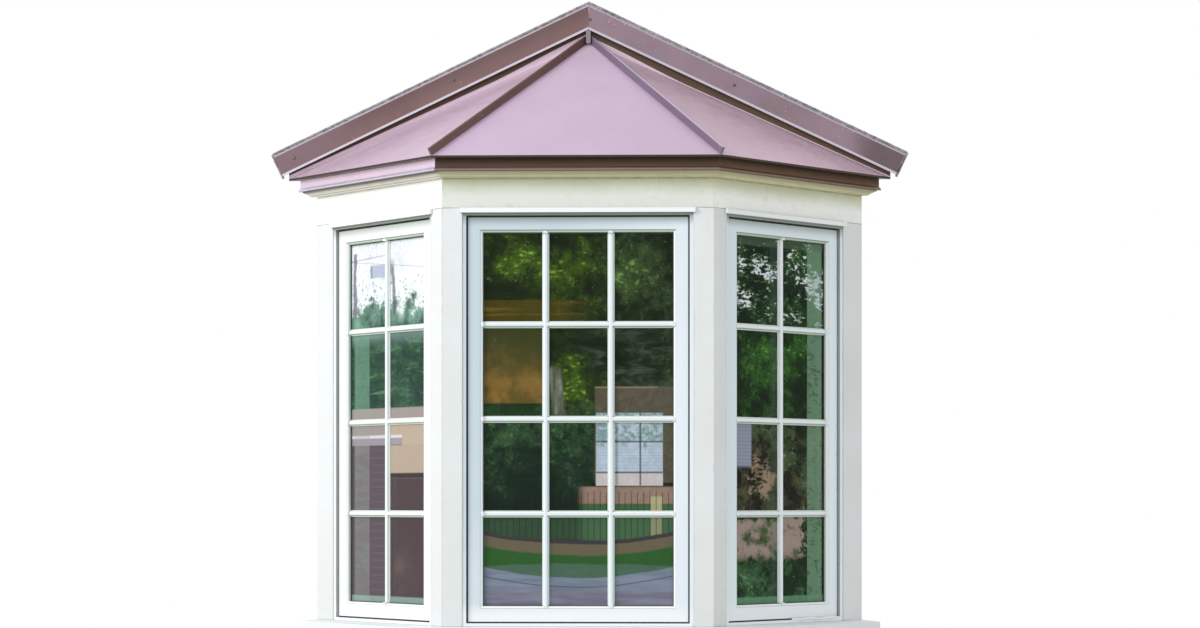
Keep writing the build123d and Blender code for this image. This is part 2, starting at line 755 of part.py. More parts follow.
def make_roof():
    """Deck, panels, seams, closure and wall flashing, over the rafters."""
    nodes = {}
    right_deck = deck(SIDE)
    nodes["roof_deck"] = together([deck(FRONT), mirrored(right_deck), right_deck])
    right_block = eave_block(SIDE)
    nodes["eave_blocks"] = together([eave_block(FRONT), mirrored(right_block), right_block])
    right_panel = roof_panel(SIDE)
    nodes["roof_panel_front"] = roof_panel(FRONT)
    nodes["roof_panel_left"] = mirrored(right_panel)
    nodes["roof_panel_right"] = right_panel
    right_seam = seam()
    nodes["hip_seam_left"] = mirrored(right_seam)
    nodes["hip_seam_right"] = right_seam
    nodes["apex_cap"] = apex_cap(right_seam)
    right_flashing = flashing()
    nodes["wall_flashing_left"] = mirrored(right_flashing)
    nodes["wall_flashing_right"] = right_flashing
    right_batten = batten()
    nodes["flashing_battens"] = together([mirrored(right_batten), right_batten])
    right_sealant = sealant()
    nodes["sealant"] = together([mirrored(right_sealant), right_sealant])
    return nodes


def main():
    """Build every node and write it as its own file."""
    os.makedirs("parts", exist_ok=True)
    nodes = {}
    makers = (
        make_foot, make_boards, make_uprights, make_windows, make_cornice, make_rafters, make_roof,
    )
    for make in makers:
        nodes.update(make())
    for name, shape in nodes.items():
        export_step(shape, "parts/" + name + ".step")
    print(len(nodes), "nodes written")


main()
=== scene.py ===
# %% [markdown]
# # A canted bay window under a sheet-metal roof
#
# The bay is three windows that stand out from a house wall, with boarded trim round them and a
# three-sided roof of folded metal above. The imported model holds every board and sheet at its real
# size. This script gives them their finishes, adds what is too fine for that model, such as
# moulded bars, seals, caulk and screws, and sets up the studio.
#
# Everything is in metres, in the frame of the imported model: X runs to the right, Y into the house
# and Z up. The house wall is the plane Y = 0.

# %% Load the frame
import math
import random

import bmesh
import bpy
from mathutils import Matrix, Vector, noise


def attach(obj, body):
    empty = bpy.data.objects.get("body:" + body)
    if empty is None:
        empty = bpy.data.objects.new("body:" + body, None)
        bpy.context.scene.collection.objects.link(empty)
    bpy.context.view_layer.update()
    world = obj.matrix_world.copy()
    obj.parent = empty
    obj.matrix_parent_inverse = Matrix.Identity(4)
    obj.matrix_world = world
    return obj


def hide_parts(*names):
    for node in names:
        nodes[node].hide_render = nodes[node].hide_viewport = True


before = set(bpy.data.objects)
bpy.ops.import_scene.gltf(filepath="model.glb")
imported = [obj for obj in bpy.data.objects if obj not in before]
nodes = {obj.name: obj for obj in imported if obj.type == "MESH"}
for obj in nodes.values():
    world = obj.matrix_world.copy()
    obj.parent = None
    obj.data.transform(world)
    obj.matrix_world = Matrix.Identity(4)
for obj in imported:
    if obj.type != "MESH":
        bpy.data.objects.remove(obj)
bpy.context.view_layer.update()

# %% [markdown]
# ## The camera
#
# The photograph was taken from in front and a little to the right, at about the height of the
# lowest panes, with the camera level. A level camera keeps the posts upright in the picture. The
# bay then sits high in the frame, so the lens is shifted and not tilted.

# %% The camera
PHOTO_WIDTH = 1200
PHOTO_HEIGHT = 628
FOCAL_PIXELS = 2451.0
CENTRE_PIXEL = (706.9, 501.7)
SENSOR = 36.0
scene = bpy.context.scene

lens = bpy.data.cameras.new("camera")
lens.sensor_width = SENSOR
lens.lens = SENSOR * FOCAL_PIXELS / PHOTO_WIDTH
lens.shift_x = (PHOTO_WIDTH / 2 - CENTRE_PIXEL[0]) / PHOTO_WIDTH
lens.shift_y = (CENTRE_PIXEL[1] - PHOTO_HEIGHT / 2) / PHOTO_WIDTH
camera = bpy.data.objects.new("camera", lens)
camera.location = (0.6215, -8.5383, 0.5127)
camera.rotation_euler = (math.radians(90), 0, 0.0245464)
scene.collection.objects.link(camera)
scene.camera = camera
scene.view_settings.view_transform = "Standard"
print("lens:", round(lens.lens, 2), "shift:", round(lens.shift_x, 4), round(lens.shift_y, 4))

# %% [markdown]
# ## Shader arithmetic
#
# A finish is easier to read as a formula than as a web of nodes. The first class wraps the output
# of a node: adding or multiplying it adds a Math node, so `1 - mask` works as it reads. The second
# fills a node tree, and its `node` method adds any node. The settings come first, then the values
# or links of its sockets. Colours are written as the 0 to 255 values of a paint chart. Blender's
# sockets want linear light, so `paint` converts them.

# %% A wrapped output
class Wire:
    """The output of a shader node, which can be used in arithmetic."""

    def __init__(self, tree, output):
        self.tree = tree
        self.output = output

    def maths(self, operation, first, second):
        return self.tree.node("ShaderNodeMath", {"operation": operation}, [first, second])

    def __add__(self, other):
        return self.maths("ADD", self, other)

    def __radd__(self, other):
        return self.maths("ADD", other, self)

    def __sub__(self, other):
        return self.maths("SUBTRACT", self, other)

    def __rsub__(self, other):
        return self.maths("SUBTRACT", other, self)

    def __mul__(self, other):
        return self.maths("MULTIPLY", self, other)

    def __rmul__(self, other):
        return self.maths("MULTIPLY", other, self)

    def __abs__(self):
        return self.maths("ABSOLUTE", self, 0.0)


def paint(colour):
    """A 0 to 255 colour as linear light with full alpha. A wire is left as it is."""
    if isinstance(colour, Wire):
        return colour
    shares = [value / 255 for value in colour]
    return (*(share / 12.92 if share <= 0.04045 else ((share + 0.055) / 1.055) ** 2.4 for share in shares), 1.0)


# %% A tree of nodes
class Tree:
    """The nodes of a material or of the world."""

    def __init__(self, owner):
        owner.use_nodes = True
        self.owner = owner
        self.tree = owner.node_tree
        self.tree.nodes.clear()

    def node(self, kind, settings=None, values=(), out=0):
        """Adds a node: its settings first, then a list or a dictionary of values and links."""
        made = self.tree.nodes.new(kind)
        for key, value in (settings or {}).items():
            setattr(made, key, value)
        pairs = values.items() if isinstance(values, dict) else enumerate(values)
        for key, value in pairs:
            if isinstance(value, Wire):
                self.tree.links.new(value.output, made.inputs[key])
            elif value is not None:
                made.inputs[key].default_value = value
        return made if out is None else self.outs(made, out)[0]

    def outs(self, made, *names):
        return [Wire(self, made.outputs[name]) for name in names]

    def maths(self, operation, *values):
        return self.node("ShaderNodeMath", {"operation": operation}, values)


# %% [markdown]
# A material is laid down as a painter would: a ground tone, then layers that each cover a share of
# what is below. The share is a mask made of noise, of the place or of the way the surface faces.

# %% A finish
class Finish(Tree):
    """One material, whose tone is laid in layers from the back to the front."""

    def __init__(self, name, ground=(0, 0, 0)):
        super().__init__(bpy.data.materials.new(name))
        self.place = self.node("ShaderNodeTexCoord", out="Object")
        self.x, self.y, self.z = self.split(self.place)
        self.tone = ground

    def split(self, vector):
        """The x, y and z of a vector, as three wires."""
        return self.outs(self.node("ShaderNodeSeparateXYZ", {}, [vector], out=None), 0, 1, 2)

    def vector(self, x, y, z):
        return self.node("ShaderNodeCombineXYZ", {}, [x, y, z])

    def stretched(self, scale, turn=(0.0, 0.0, 0.0), source=None):
        """The coordinates, turned about the origin and scaled."""
        values = {"Vector": source or self.place, "Rotation": turn, "Scale": scale}
        return self.node("ShaderNodeMapping", {}, values)

    def cloud(self, scale, detail=3.0, rough=0.55, source=None, warp=0.0):
        """Soft noise, from 0 to 1. Three numbers for a scale draw it out along the axes."""
        if isinstance(scale, tuple):
            source, scale = self.stretched(scale, source=source), 1.0
        values = {
            "Vector": source or self.place, "Scale": scale, "Detail": detail, "Roughness": rough,
            "Distortion": warp}
        return self.node("ShaderNodeTexNoise", {}, values)

    def dots(self, scale, size, source=None):
        """Scattered dots: 1 in a dot, 0 between them."""
        values = {"Vector": source or self.place, "Scale": scale, "Randomness": 1.0}
        distance = self.node("ShaderNodeTexVoronoi", {"feature": "F1"}, values)
        return self.step(distance, size, size * 0.55)

    def step(self, value, low, high, start=0.0, end=1.0):
        """A value eased from start to end as it goes from low to high."""
        settings = {"interpolation_type": "SMOOTHSTEP", "clamp": True}
        return self.node("ShaderNodeMapRange", settings, [value, low, high, start, end])

    def near(self, value, wanted, far, close):
        """1 where a value is close to the one wanted, and 0 where it is far from it."""
        return self.step(abs(value - wanted), far, close)

    def mix(self, share, first, second):
        """Two colours, mixed."""
        settings = {"data_type": "RGBA", "clamp_factor": True}
        return self.node("ShaderNodeMix", settings, {0: share, 6: paint(first), 7: paint(second)}, out=2)

    def lay(self, share, colour):
        """Covers a share of the tone with another colour."""
        self.tone = self.mix(share, self.tone, colour)

    def corner_shade(self, distance, high=0.7, low=0.3):
        """1 in corners and 0 in the open: the mask for painted shade in corners."""
        node = self.node("ShaderNodeAmbientOcclusion", {"samples": 4}, {"Distance": distance}, out="AO")
        return self.step(node, high, low)

    def streaks(self, scale, detail, low, high, share, colour):
        """A layer of faint marks, drawn out along one way."""
        self.lay(self.step(self.cloud(scale, detail, 0.6), low, high) * share, colour)

    def spots(self, scale, size, share, colour, patch=None):
        """A layer of spots. A patch is the scale, detail and range of a cloud that they keep to."""
        marks = self.dots(scale, size)
        if patch:
            marks = marks * self.step(self.cloud(*patch[:2]), *patch[2:])
        self.lay(marks * share, colour)

    def in_window(self, axes):
        """Distance along a window and into the house, in that window's axes."""
        return [
            self.x * way.x + self.y * way.y - axes.translation.dot(way.xyz)
            for way in (axes.col[0], axes.col[1])]

    def facing(self):
        """The x, y and z of the way the surface faces."""
        return self.split(self.node("ShaderNodeNewGeometry", out="Normal"))

    def brushed(self, brush):
        """The height of brush marks over a slightly uneven coat."""
        return self.cloud(brush, 4, 0.6) * 0.35 + self.cloud(42, 3) * 0.3

    def done(self, rough, height=None, distance=0.0, **more):
        """Ends the material: its roughness, the height of its bumps and any other sockets."""
        named = {key.replace("_", " "): value for key, value in more.items()}
        if height is not None:
            named["Normal"] = self.node("ShaderNodeBump", {}, {"Height": height, "Distance": distance, "Strength": 1.0})
        named.update({"Base Color": paint(self.tone), "Roughness": rough})
        return self.show(self.node("ShaderNodeBsdfPrincipled", {}, named))

    def show(self, shader):
        self.node("ShaderNodeOutputMaterial", {}, {"Surface": shader}, out=None)
        return self.owner


print("shader helpers ready")

# %% [markdown]
# ## The studio
#
# The world is an even white, dimmed for the light that falls on the bay but not for what the camera, the metal and the
# glass see. A big soft lamp to the left stands for the open sky on that side. It and the painted light in the left
# windows' coats make the left windows the brightest.

# %% The world
AMBIENT = 0.74

scene.world = bpy.data.worlds.new("studio")
sky = Tree(scene.world)
path = sky.node("ShaderNodeLightPath", out=None)
camera_ray, glossy, through = sky.outs(path, "Is Camera Ray", "Is Glossy Ray", "Is Transmission Ray")
seen = sky.maths("MAXIMUM", sky.maths("MAXIMUM", camera_ray, glossy), through)
level = sky.node("ShaderNodeMapRange", {}, {"Value": seen, "To Min": AMBIENT, "To Max": 1.0})
backdrop = sky.node("ShaderNodeBackground", {}, {"Color": (1.0, 1.0, 1.0, 1.0), "Strength": level})
sky.node("ShaderNodeOutputWorld", {}, {"Surface": backdrop}, out=None)
print("world at", AMBIENT)

# %% The lamp
LAMP_PLACE = Vector((-6.0, -5.0, 4.6))
LAMP_AIM = Vector((0.0, -0.3, 1.0))

lamp_data = bpy.data.lights.new("sky_side_lamp", "AREA")
lamp_data.shape = "SQUARE"
lamp_data.size = 3.6
lamp_data.energy = 330
lamp = bpy.data.objects.new("sky_side_lamp", lamp_data)
lamp.location = LAMP_PLACE
lamp.rotation_euler = (LAMP_AIM - LAMP_PLACE).to_track_quat("-Z", "Y").to_euler()
scene.collection.objects.link(lamp)
print("lamps:", len(bpy.data.lights))

# %% [markdown]
# The floor is a pale sheet at about the ground's level, a metre below the bay. Behind the wall
# plane a dark card stands for the room, so that the glass looks into a dim room as it does in the
# photograph. Both are seen from one side only: from behind, the inside of the bay stays in view.

# %% The floor and the room card
GROUND = -1.04
QUARTER = math.radians(90)

def flat_grid(bm, width, depth, matrix, columns=1, rows=1):
    """A flat grid of one size, moved to its place. Returns its points."""
    verts = bmesh.ops.create_grid(bm, x_segments=columns, y_segments=rows, size=0.5)["verts"]
    bmesh.ops.scale(bm, vec=(width, depth, 1), verts=verts)
    bmesh.ops.transform(bm, matrix=matrix, verts=verts)
    return verts


def stage_sheet(name, width, depth, matrix, look, colour):
    """A flat matt sheet that isn't part of the bay, and isn't there from behind."""
    finish = Finish(look)
    matt = finish.node("ShaderNodeBsdfDiffuse", {}, {"Color": paint(colour)})
    clear = finish.node("ShaderNodeBsdfTransparent")
    behind = finish.node("ShaderNodeNewGeometry", out="Backfacing")
    bm = bmesh.new()
    flat_grid(bm, width, depth, matrix)
    mesh = bpy.data.meshes.new(name)
    bm.to_mesh(mesh)
    bm.free()
    mesh.materials.append(finish.show(finish.node("ShaderNodeMixShader", {}, [behind, matt, clear])))
    sheet = bpy.data.objects.new(name, mesh)
    scene.collection.objects.link(sheet)
    return sheet


stage_sheet("floor", 16, 16, Matrix.Translation((0, -1, GROUND)), "pale_floor", (236, 236, 234))
ROOM_CARD = Matrix.Translation((0, 0.004, 0.79)) @ Matrix.Rotation(QUARTER, 4, "X")
card = stage_sheet("room_card", 1.9, 1.5, ROOM_CARD, "dim_room", (16, 18, 15))
card.visible_diffuse = False
card.visible_shadow = False
print("stage pieces: floor and room card")

# %% [markdown]
# ## The bay's main sizes
#
# Some finishes change with the place: painted shade sits under the drip caps, and an olive tone under the eave is
# partly a film and partly painted shade. So the sizes of the imported model come first, and with them the axes of each
# window: x along it, y into the house and z up, from the middle of the trim's face.

# %% Where the windows stand
CANT = math.radians(45)
HALF_FRONT = 0.4472
PROJECTION = 0.50417
SIDE_MIDDLE = 0.339
WINDOW_LOW = 0.102
WINDOW_HIGH = 1.4788
CAP_FOOT = 1.4624
SASH_TOP = 1.4489
SIGHT_LOW = 0.1710
SIGHT_HIGH = 1.3969
SASH_MARGIN = 0.0705
GLASS_FRONT = 0.033
GLASS_BACK = 0.052

def window_at(x, y, out_x, out_y, half, panes):
    """A window: its axes, half its width, half its width of glass, and its panes in a row."""
    inward = Vector((-out_x, -out_y, 0))
    matrix = Matrix((inward.cross(Vector((0, 0, 1))), inward, (0, 0, 1))).transposed().to_4x4()
    matrix.translation = (x, y, 0)
    return {"axes": matrix, "half": half, "sight": half - SASH_MARGIN, "panes": panes}


side_x = HALF_FRONT + SIDE_MIDDLE * math.cos(CANT)
side_y = SIDE_MIDDLE * math.sin(CANT) - PROJECTION
turn = math.sin(CANT)
windows = {
    "front": window_at(0, -PROJECTION, 0, -1, 0.3828, 3),
    "left": window_at(-side_x, side_y, -turn, -turn, 0.2826, 2),
    "right": window_at(side_x, side_y, turn, -turn, 0.2826, 2),
}
print("windows:", {name: [round(v, 3) for v in w["axes"].translation] for name, w in windows.items()})

# %% [markdown]
# ## The metal
#
# Roof, seams, flashing and fascia are one kind of factory-painted sheet, with a little metal flake in the paint. It
# looks pale lilac where it faces the sky and brown where it faces the ground, so each piece is given the tone that it
# shows: the lilac and purple tones are a painted sky reflection on the brown paint, and the darkest browns are painted
# shade. Over that come soft clouding, faint streaks that run down, pale specks of grime and a slight waviness of the
# sheet.

# %% Painted sheet metal
PAINTED_SHADE_BROWN = (92, 72, 54)
EAVE_SHADE = (58, 44, 28)
METAL_FLAKE = 0.3
APEX_HEIGHT = 2.1175
EAVE_HEIGHT = 1.6415
EAVE_AT_WALL = 1.05038
RAKE_FOOT = Vector((1.06738, 0.0, 1.6475))
RAKE_TOP = Vector((0.0, 0.0, 2.1555))
FLASHING_WIDTH = 0.084
uphill = (RAKE_TOP - RAKE_FOOT).normalized()

def sheet_metal(name, colour, shade, lit=None, specks=0.5, end=None, mottle=None, high=None):
    """A painted sheet: its main and darker colours, and the tones of its edges and ends. Its tones also carry painted
    light and shade.
    """
    finish = Finish(name, colour)
    lay, step, cloud = finish.lay, finish.step, finish.cloud
    fine = cloud(26, 5, 0.65)
    lay(step(cloud(1.9, 4, 0.6), 0.36, 0.66), shade)
    if mottle:
        lay(step(cloud(9, 5, 0.65), 0.46, 0.66) * 0.45, mottle)
    if high:
        drop = (RAKE_FOOT.x - abs(finish.x)) * uphill.z
        above_hem = (finish.z - RAKE_FOOT.z) * -uphill.x - drop
        lay(step(above_hem, 0.004, FLASHING_WIDTH) * 0.9, high)
    if end:
        near, far, other = end
        lay(step(finish.x + (cloud(7, 4) - 0.5) * 0.16, near, far), other)
    finish.streaks((34, 34, 2.2), 4, 0.55, 0.78, 0.16, shade)
    up = finish.facing()[2]
    # Faces that look up get the lit colour: a painted sky highlight.
    if lit:
        lay(step(up, 0.18, 0.5), lit)
    finish.spots(75, 0.13, specks, (238, 236, 240), (4.0, 2, 0.5, 0.68))
    finish.spots(38, 0.08, specks * 0.7, (70, 58, 55))
    if name.startswith("roof"):
        steep = step(up, 0.5, 0.3)
        lift = finish.z - APEX_HEIGHT + abs(finish.x) * ((APEX_HEIGHT - EAVE_HEIGHT) / EAVE_AT_WALL)
        upstand = step(abs(finish.x), 0.36, 0.03) * 0.016 + (0.011 if "left" in name else 0.001)
        clear = upstand * step(finish.facing()[1], 0.2, -0.2)
        # Painted light near the wall, a painted shadow on the upstand under the flashing, and painted shade on the
        # eave's face.
        lay(step(finish.y, -0.11, -0.015) * 0.55, (246, 222, 240))
        lay(step(finish.y, -0.006, -0.004) * step(lift, clear, clear + 0.002) * steep, PAINTED_SHADE_BROWN)
        lay(step(finish.z, EAVE_HEIGHT + 0.0012, EAVE_HEIGHT + 0.0002) * steep, EAVE_SHADE)
    else:
        # Painted shade in the corners.
        lay(finish.corner_shade(0.02, 0.65, 0.05) * 0.4, (62, 50, 46))
    height = cloud((2.6, 2.6, 4.16), 1) + fine * 0.012
    return finish.done(step(fine, 0.3, 0.7, 0.31, 0.44), height, 0.006, Metallic=METAL_FLAKE)


finish_of = {
    "roof_panel_front": sheet_metal("roof_front_lilac", (208, 185, 211), (202, 178, 203)),
    "roof_panel_left": sheet_metal("roof_left_lilac", (216, 191, 211), (208, 183, 204)),
    "roof_panel_right": sheet_metal("roof_right_mauve", (215, 187, 203), (207, 178, 195), specks=0.9),
    "wall_flashing_left": sheet_metal(
        "flashing_left_brown", (132, 102, 101), (120, 92, 90), lit=(205, 198, 214),
        end=(-0.72, -0.98, (124, 100, 106)), mottle=(130, 103, 104), high=(104, 80, 80)),
    "wall_flashing_right": sheet_metal(
        "flashing_right_mauve", (152, 129, 138), (138, 116, 124), lit=(205, 198, 212), specks=0.9,
        end=(0.86, 1.0, (106, 89, 95)), mottle=(146, 130, 150)),
    "hip_seam_left": sheet_metal("seam_left_brown", (112, 82, 78), (98, 69, 62)),
    "hip_seam_right": sheet_metal(
        "seam_right_purple", (136, 119, 145), (124, 106, 128), lit=(196, 186, 205)),
    "apex_cap": sheet_metal("apex_grey", (158, 146, 162), (128, 112, 124)),
}
print("roof finishes:", len(finish_of))

# %% [markdown]
# The fascia is the same sheet, but it stands in the shade of the eave. The front and right fasciae are painted darker
# towards the top as painted shade, and the left one, which faces the open sky, is painted lighter there as painted
# light. The kicked-out lip gets a painted highlight with a painted shadow line below it.

# %% The fascia
FASCIA_LOW = 1.5955
FASCIA_HIGH = 1.6345

def fascia_metal(name, top, low, lip):
    """Painted sheet whose tone towards the top carries painted light and shade, with a painted highlight on its lip and
    a painted shadow line below it.
    """
    finish = Finish(name, low)
    lay, step, cloud = finish.lay, finish.step, finish.cloud
    # Towards the top: painted shade on the front and right fasciae, painted light on the left one.
    lay(step(finish.z, FASCIA_LOW + 0.008, FASCIA_HIGH), top)
    lay(step(cloud(5, 4), 0.45, 0.75) * 0.3, top)
    # A painted highlight on the lip, and a painted shadow line at its foot.
    lay(step(finish.z, FASCIA_LOW + 0.0115, FASCIA_LOW + 0.0065), lip)
    lay(step(finish.z, FASCIA_LOW + 0.0015, FASCIA_LOW + 0.0005) * 0.7, PAINTED_SHADE_BROWN)
    finish.spots(60, 0.1, 0.5, (50, 38, 32))
    fine = cloud(30, 4)
    height = cloud(3.2, 1) + fine * 0.01
    return finish.done(step(fine, 0.3, 0.7, 0.34, 0.48), height, 0.004, Metallic=METAL_FLAKE)


# Each fascia carries its own painted light: the front and right ones are painted dark as painted shade, and the left
# one is painted lilac as a painted sky reflection.
for name, *tones in (
        ("fascia_front_brown", (54, 34, 18), (88, 62, 46), (134, 116, 110)),
        ("fascia_right_brown", (64, 40, 14), (98, 66, 34), (128, 110, 100)),
        ("fascia_left_lilac", (252, 228, 242), (212, 192, 212), (206, 203, 222))):
    finish_of[name.rsplit("_", 1)[0]] = fascia_metal(name, *tones)
print("metal finishes:", len(finish_of))

# %% [markdown]
# ## The paint
#
# The trim is painted board. New paint is plain, so what makes it look real is what happened since: dust and painted
# shade in the corners, faint runs below the sills, small chips and fly spots, and brush marks that only show as a bump.

# %% Painted boards
def board_paint(name, colour, dust, brush=(90, 90, 2.5), corner_dirt_and_shade=0.5):
    """Painted timber: its colour, the colour of its dust and the way of its brush marks."""
    finish = Finish(name, colour)
    lay, step, cloud = finish.lay, finish.step, finish.cloud
    soft = cloud(3.0, 4, 0.6)
    lay(step(soft, 0.35, 0.7) * 0.22, dust)
    if name.startswith("trim"):
        crack = finish.near(finish.z, WINDOW_HIGH, 0.0024, 0.0012)
        lay(crack * step(cloud(21, 4), 0.36, 0.54, 0.25, 0.85), (116, 116, 98))
    finish.streaks((46, 46, 1.8), 5, 0.56, 0.8, 0.16, dust)
    # Dust and painted shade in the corners.
    lay(finish.corner_shade(0.012, 0.75, 0.35) * step(cloud(19, 4), 0.25, 0.6) * corner_dirt_and_shade, (128, 124, 104))
    finish.spots(64, 0.07, 0.75, (112, 100, 84), (6.0, 1, 0.52, 0.6))
    return finish.done(step(soft, 0.3, 0.7, 0.42, 0.56), finish.brushed(brush), 0.0006)


trim_white = board_paint("trim_white", (228, 233, 234), (208, 210, 202))
sill_white = board_paint("sill_white", (236, 240, 243), (212, 213, 206), (6, 6, 90))
apron_white = board_paint("apron_white", (226, 231, 231), (204, 206, 196), (6, 6, 90))
foot_white = board_paint("foot_board_paint", (214, 217, 213), (186, 187, 176), (4, 90, 90), 0.8)
inner_white = board_paint("inner_white", (226, 228, 222), (206, 206, 196), (4, 60, 60), 0.3)
print("board paints:", trim_white.name, sill_white.name, apron_white.name, foot_white.name, inner_white.name)

# %% [markdown]
# The frieze and its moulding sit under the eave, where rain doesn't wash them. An olive tone lies there, strongest on
# the moulding and fading down the board: partly a film that grows there and partly painted shade under the eave. Dust
# gathers along the moulding's foot in a broken dark line, and painted shade sits in the corners.

# %% The cornice's paint
MOULDING_LOW = 1.5765

def cornice_finish(name, clean, film, strength=1.0):
    """Paint with an olive tone that fades from the eave down: partly a film, partly painted shade."""
    finish = Finish(name, clean)
    lay, step, cloud = finish.lay, finish.step, finish.cloud
    soft = cloud(5.0, 4, 0.6)
    # An olive tone fades down from the eave: partly a film, partly painted shade.
    lay(step(finish.z + (soft - 0.5) * 0.03, MOULDING_LOW - 0.066, MOULDING_LOW) * strength, film)
    lay(step(cloud(28, 5, 0.65), 0.5, 0.8) * (0.18 * strength), (150, 148, 112))
    broken = step(cloud((24, 24, 3), 4, 0.7), 0.42, 0.64)
    line = finish.near(finish.z, MOULDING_LOW - 0.0012, 0.0040, 0.0006)
    lay(line * (broken * 0.34 + 0.05), (116, 110, 74))
    finish.spots(70, 0.1, 0.7, (104, 98, 70), (7.0, 1, 0.5, 0.6))
    # Painted shade in the corners.
    lay(finish.corner_shade(0.008) * 0.25, (126, 120, 88))
    return finish.done(step(soft, 0.3, 0.7, 0.46, 0.6), finish.brushed((7, 7, 110)), 0.0006)


# Each frieze's tones carry painted light: the right one is painted brighter, and the left one, in the light, gets a
# paler and weaker film.
for name, *look in (
        ("frieze_front", (223, 228, 222), (190, 193, 160)),
        ("frieze_right", (250, 253, 248), (206, 209, 174)),
        ("frieze_left", (242, 244, 243), (226, 227, 210), 0.3)):
    finish_of[name] = cornice_finish(name + "_paint", *look)
print("cornice film down from", MOULDING_LOW)

# %% The moulding's paint
def moulding_finish(name):
    """Olive film, with painted shade under the fascia, in the quirks and on faces that look down; the left is lighter,
    as painted light.
    """
    finish = Finish(name)
    lay, step = finish.lay, finish.step
    left = step(finish.x, -HALF_FRONT + 0.01, -HALF_FRONT - 0.02)
    right = step(finish.x, HALF_FRONT - 0.01, HALF_FRONT + 0.02)
    # The film's tone for each face carries painted light: nearly white on the left, in the light.
    film = finish.mix(right, finish.mix(left, (200, 198, 160), (246, 244, 233)), (212, 210, 170))
    shaded = finish.mix(left, (164, 156, 124), (168, 162, 148))
    soft = finish.cloud(16, 5, 0.65)
    finish.tone = film
    # Painted shade on the upper moulding under the fascia and on faces that look down; the shaded tone also comes in
    # random patches.
    lay(step(finish.z + (soft - 0.5) * 0.004, 1.5835, 1.5950), shaded)
    lay(step(soft, 0.45, 0.7) * 0.25, shaded)
    lay(step(finish.facing()[2], -0.35, -0.8) * 0.5, shaded)
    # On the left, a painted shadow under the fascia's lip and a darker olive line along the small round.
    lay(left * step(finish.z, 1.5870, 1.5915) * 0.85, (112, 104, 98))
    lay(left * finish.near(finish.z, 1.5806, 0.0026, 0.0008) * 0.7, (158, 150, 132))
    # Painted shade in the corners.
    lay(finish.corner_shade(0.005) * 0.55, (96, 88, 58))
    finish.spots(60, 0.1, 0.6, (100, 92, 64))
    return finish.done(step(soft, 0.3, 0.7, 0.46, 0.62), soft, 0.0008)


finish_of["bed_mouldings"] = moulding_finish("moulding_paint")
print("moulding finish:", finish_of["bed_mouldings"].name)

# %% [markdown]
# The windows came finished from a factory. Their coat is smoother and bluer than the brushed paint, so it gets a lower
# roughness and hardly any bump. Rain leaves faint marks on the lower rails. Fine dust and painted shade sit where the
# sash meets its frame, and painted shade lies under the drip cap and on faces that look down.

# %% The window coat
def factory_coat(finish, soft, corner, share, corner_dirt_and_shade, high=0.7):
    """Ends a coat: dust and painted shade in its corners, a few fly spots, a smooth face."""
    # Dust and painted shade in the corners.
    finish.lay(finish.corner_shade(corner, high) * share, corner_dirt_and_shade)
    finish.spots(80, 0.08, 0.6, (116, 110, 98), (8.0, 1, 0.54, 0.62))
    return finish.done(finish.step(soft, 0.3, 0.7, 0.3, 0.4), finish.cloud(55, 3), 0.00025)


def window_coat(side, shade, bright, under):
    """A smooth factory coat, with painted shade under the drip cap, on faces that look down and in the groove round the
    sash.
    """
    axes = windows[side]["axes"]
    finish = Finish("window_white_" + side, shade)
    lay, step = finish.lay, finish.step
    along, depth = finish.in_window(axes)
    soft = finish.cloud(2.4, 4, 0.6)
    # The colour runs from painted shade at the top left to a lighter tone at the bottom right.
    lay(step(along * 0.9 - finish.z * 0.35 + (soft - 0.5) * 0.4, -0.62, 0.02), bright)
    finish.streaks((60, 60, 2.4), 4, 0.58, 0.8, 0.14, (190, 198, 192))
    in_frame = step(depth, 0.0006, 0.0018)
    # Painted shade under the drip cap, and on the frame's head below it.
    lay(step(finish.z, SASH_TOP - 0.034, SASH_TOP + 0.002) * in_frame * 0.62, under)
    lay(step(finish.z, SASH_TOP + 0.0030, SASH_TOP + 0.0045) * in_frame * 0.8, under)
    face = finish.facing()
    # Painted shade on faces that look down; the foot of the window is made whiter.
    lay(step(face[2], -0.3, -0.8) * 0.75, (98, 106, 92))
    lay(step(finish.z, 0.19, 0.13) * 0.85, (247, 251, 254))
    # Painted shade on the side faces of the groove round the sash.
    groove = step(abs(face[0] * axes.col[0].x + face[1] * axes.col[0].y), 0.6, 0.85)
    lay(groove * step(depth, 0.003, 0.006) * step(depth, 0.016, 0.0135) * 0.6, (84, 92, 96))
    lay(step(depth, 0.050, 0.058) * 0.8, (230, 232, 228))
    lay(step(depth, -0.002, -0.006), (244, 249, 251))
    return factory_coat(finish, soft, 0.007, 0.4, (112, 118, 118))


# Each window's coat carries painted light: the left one is painted nearly white, and the right one brighter than the
# front.
window_coats = {
    "front": window_coat("front", (199, 214, 222), (232, 242, 249), (128, 138, 124)),
    "left": window_coat("left", (238, 243, 244), (244, 248, 248), (138, 146, 132)),
    "right": window_coat("right", (226, 240, 246), (238, 249, 254), (134, 146, 130)),
}
print("window coats:", [coat.name for coat in window_coats.values()])

# %% [markdown]
# The bars and beads are small mouldings, so what tells them apart from a flat strip is how each side of the moulding
# looks: painted bright where it faces up, with painted green-grey shade where it faces down. The coat reads the way the
# surface faces, in the axes of its window.

# %% The bars' coat
FILLET_DEPTH = 0.0262

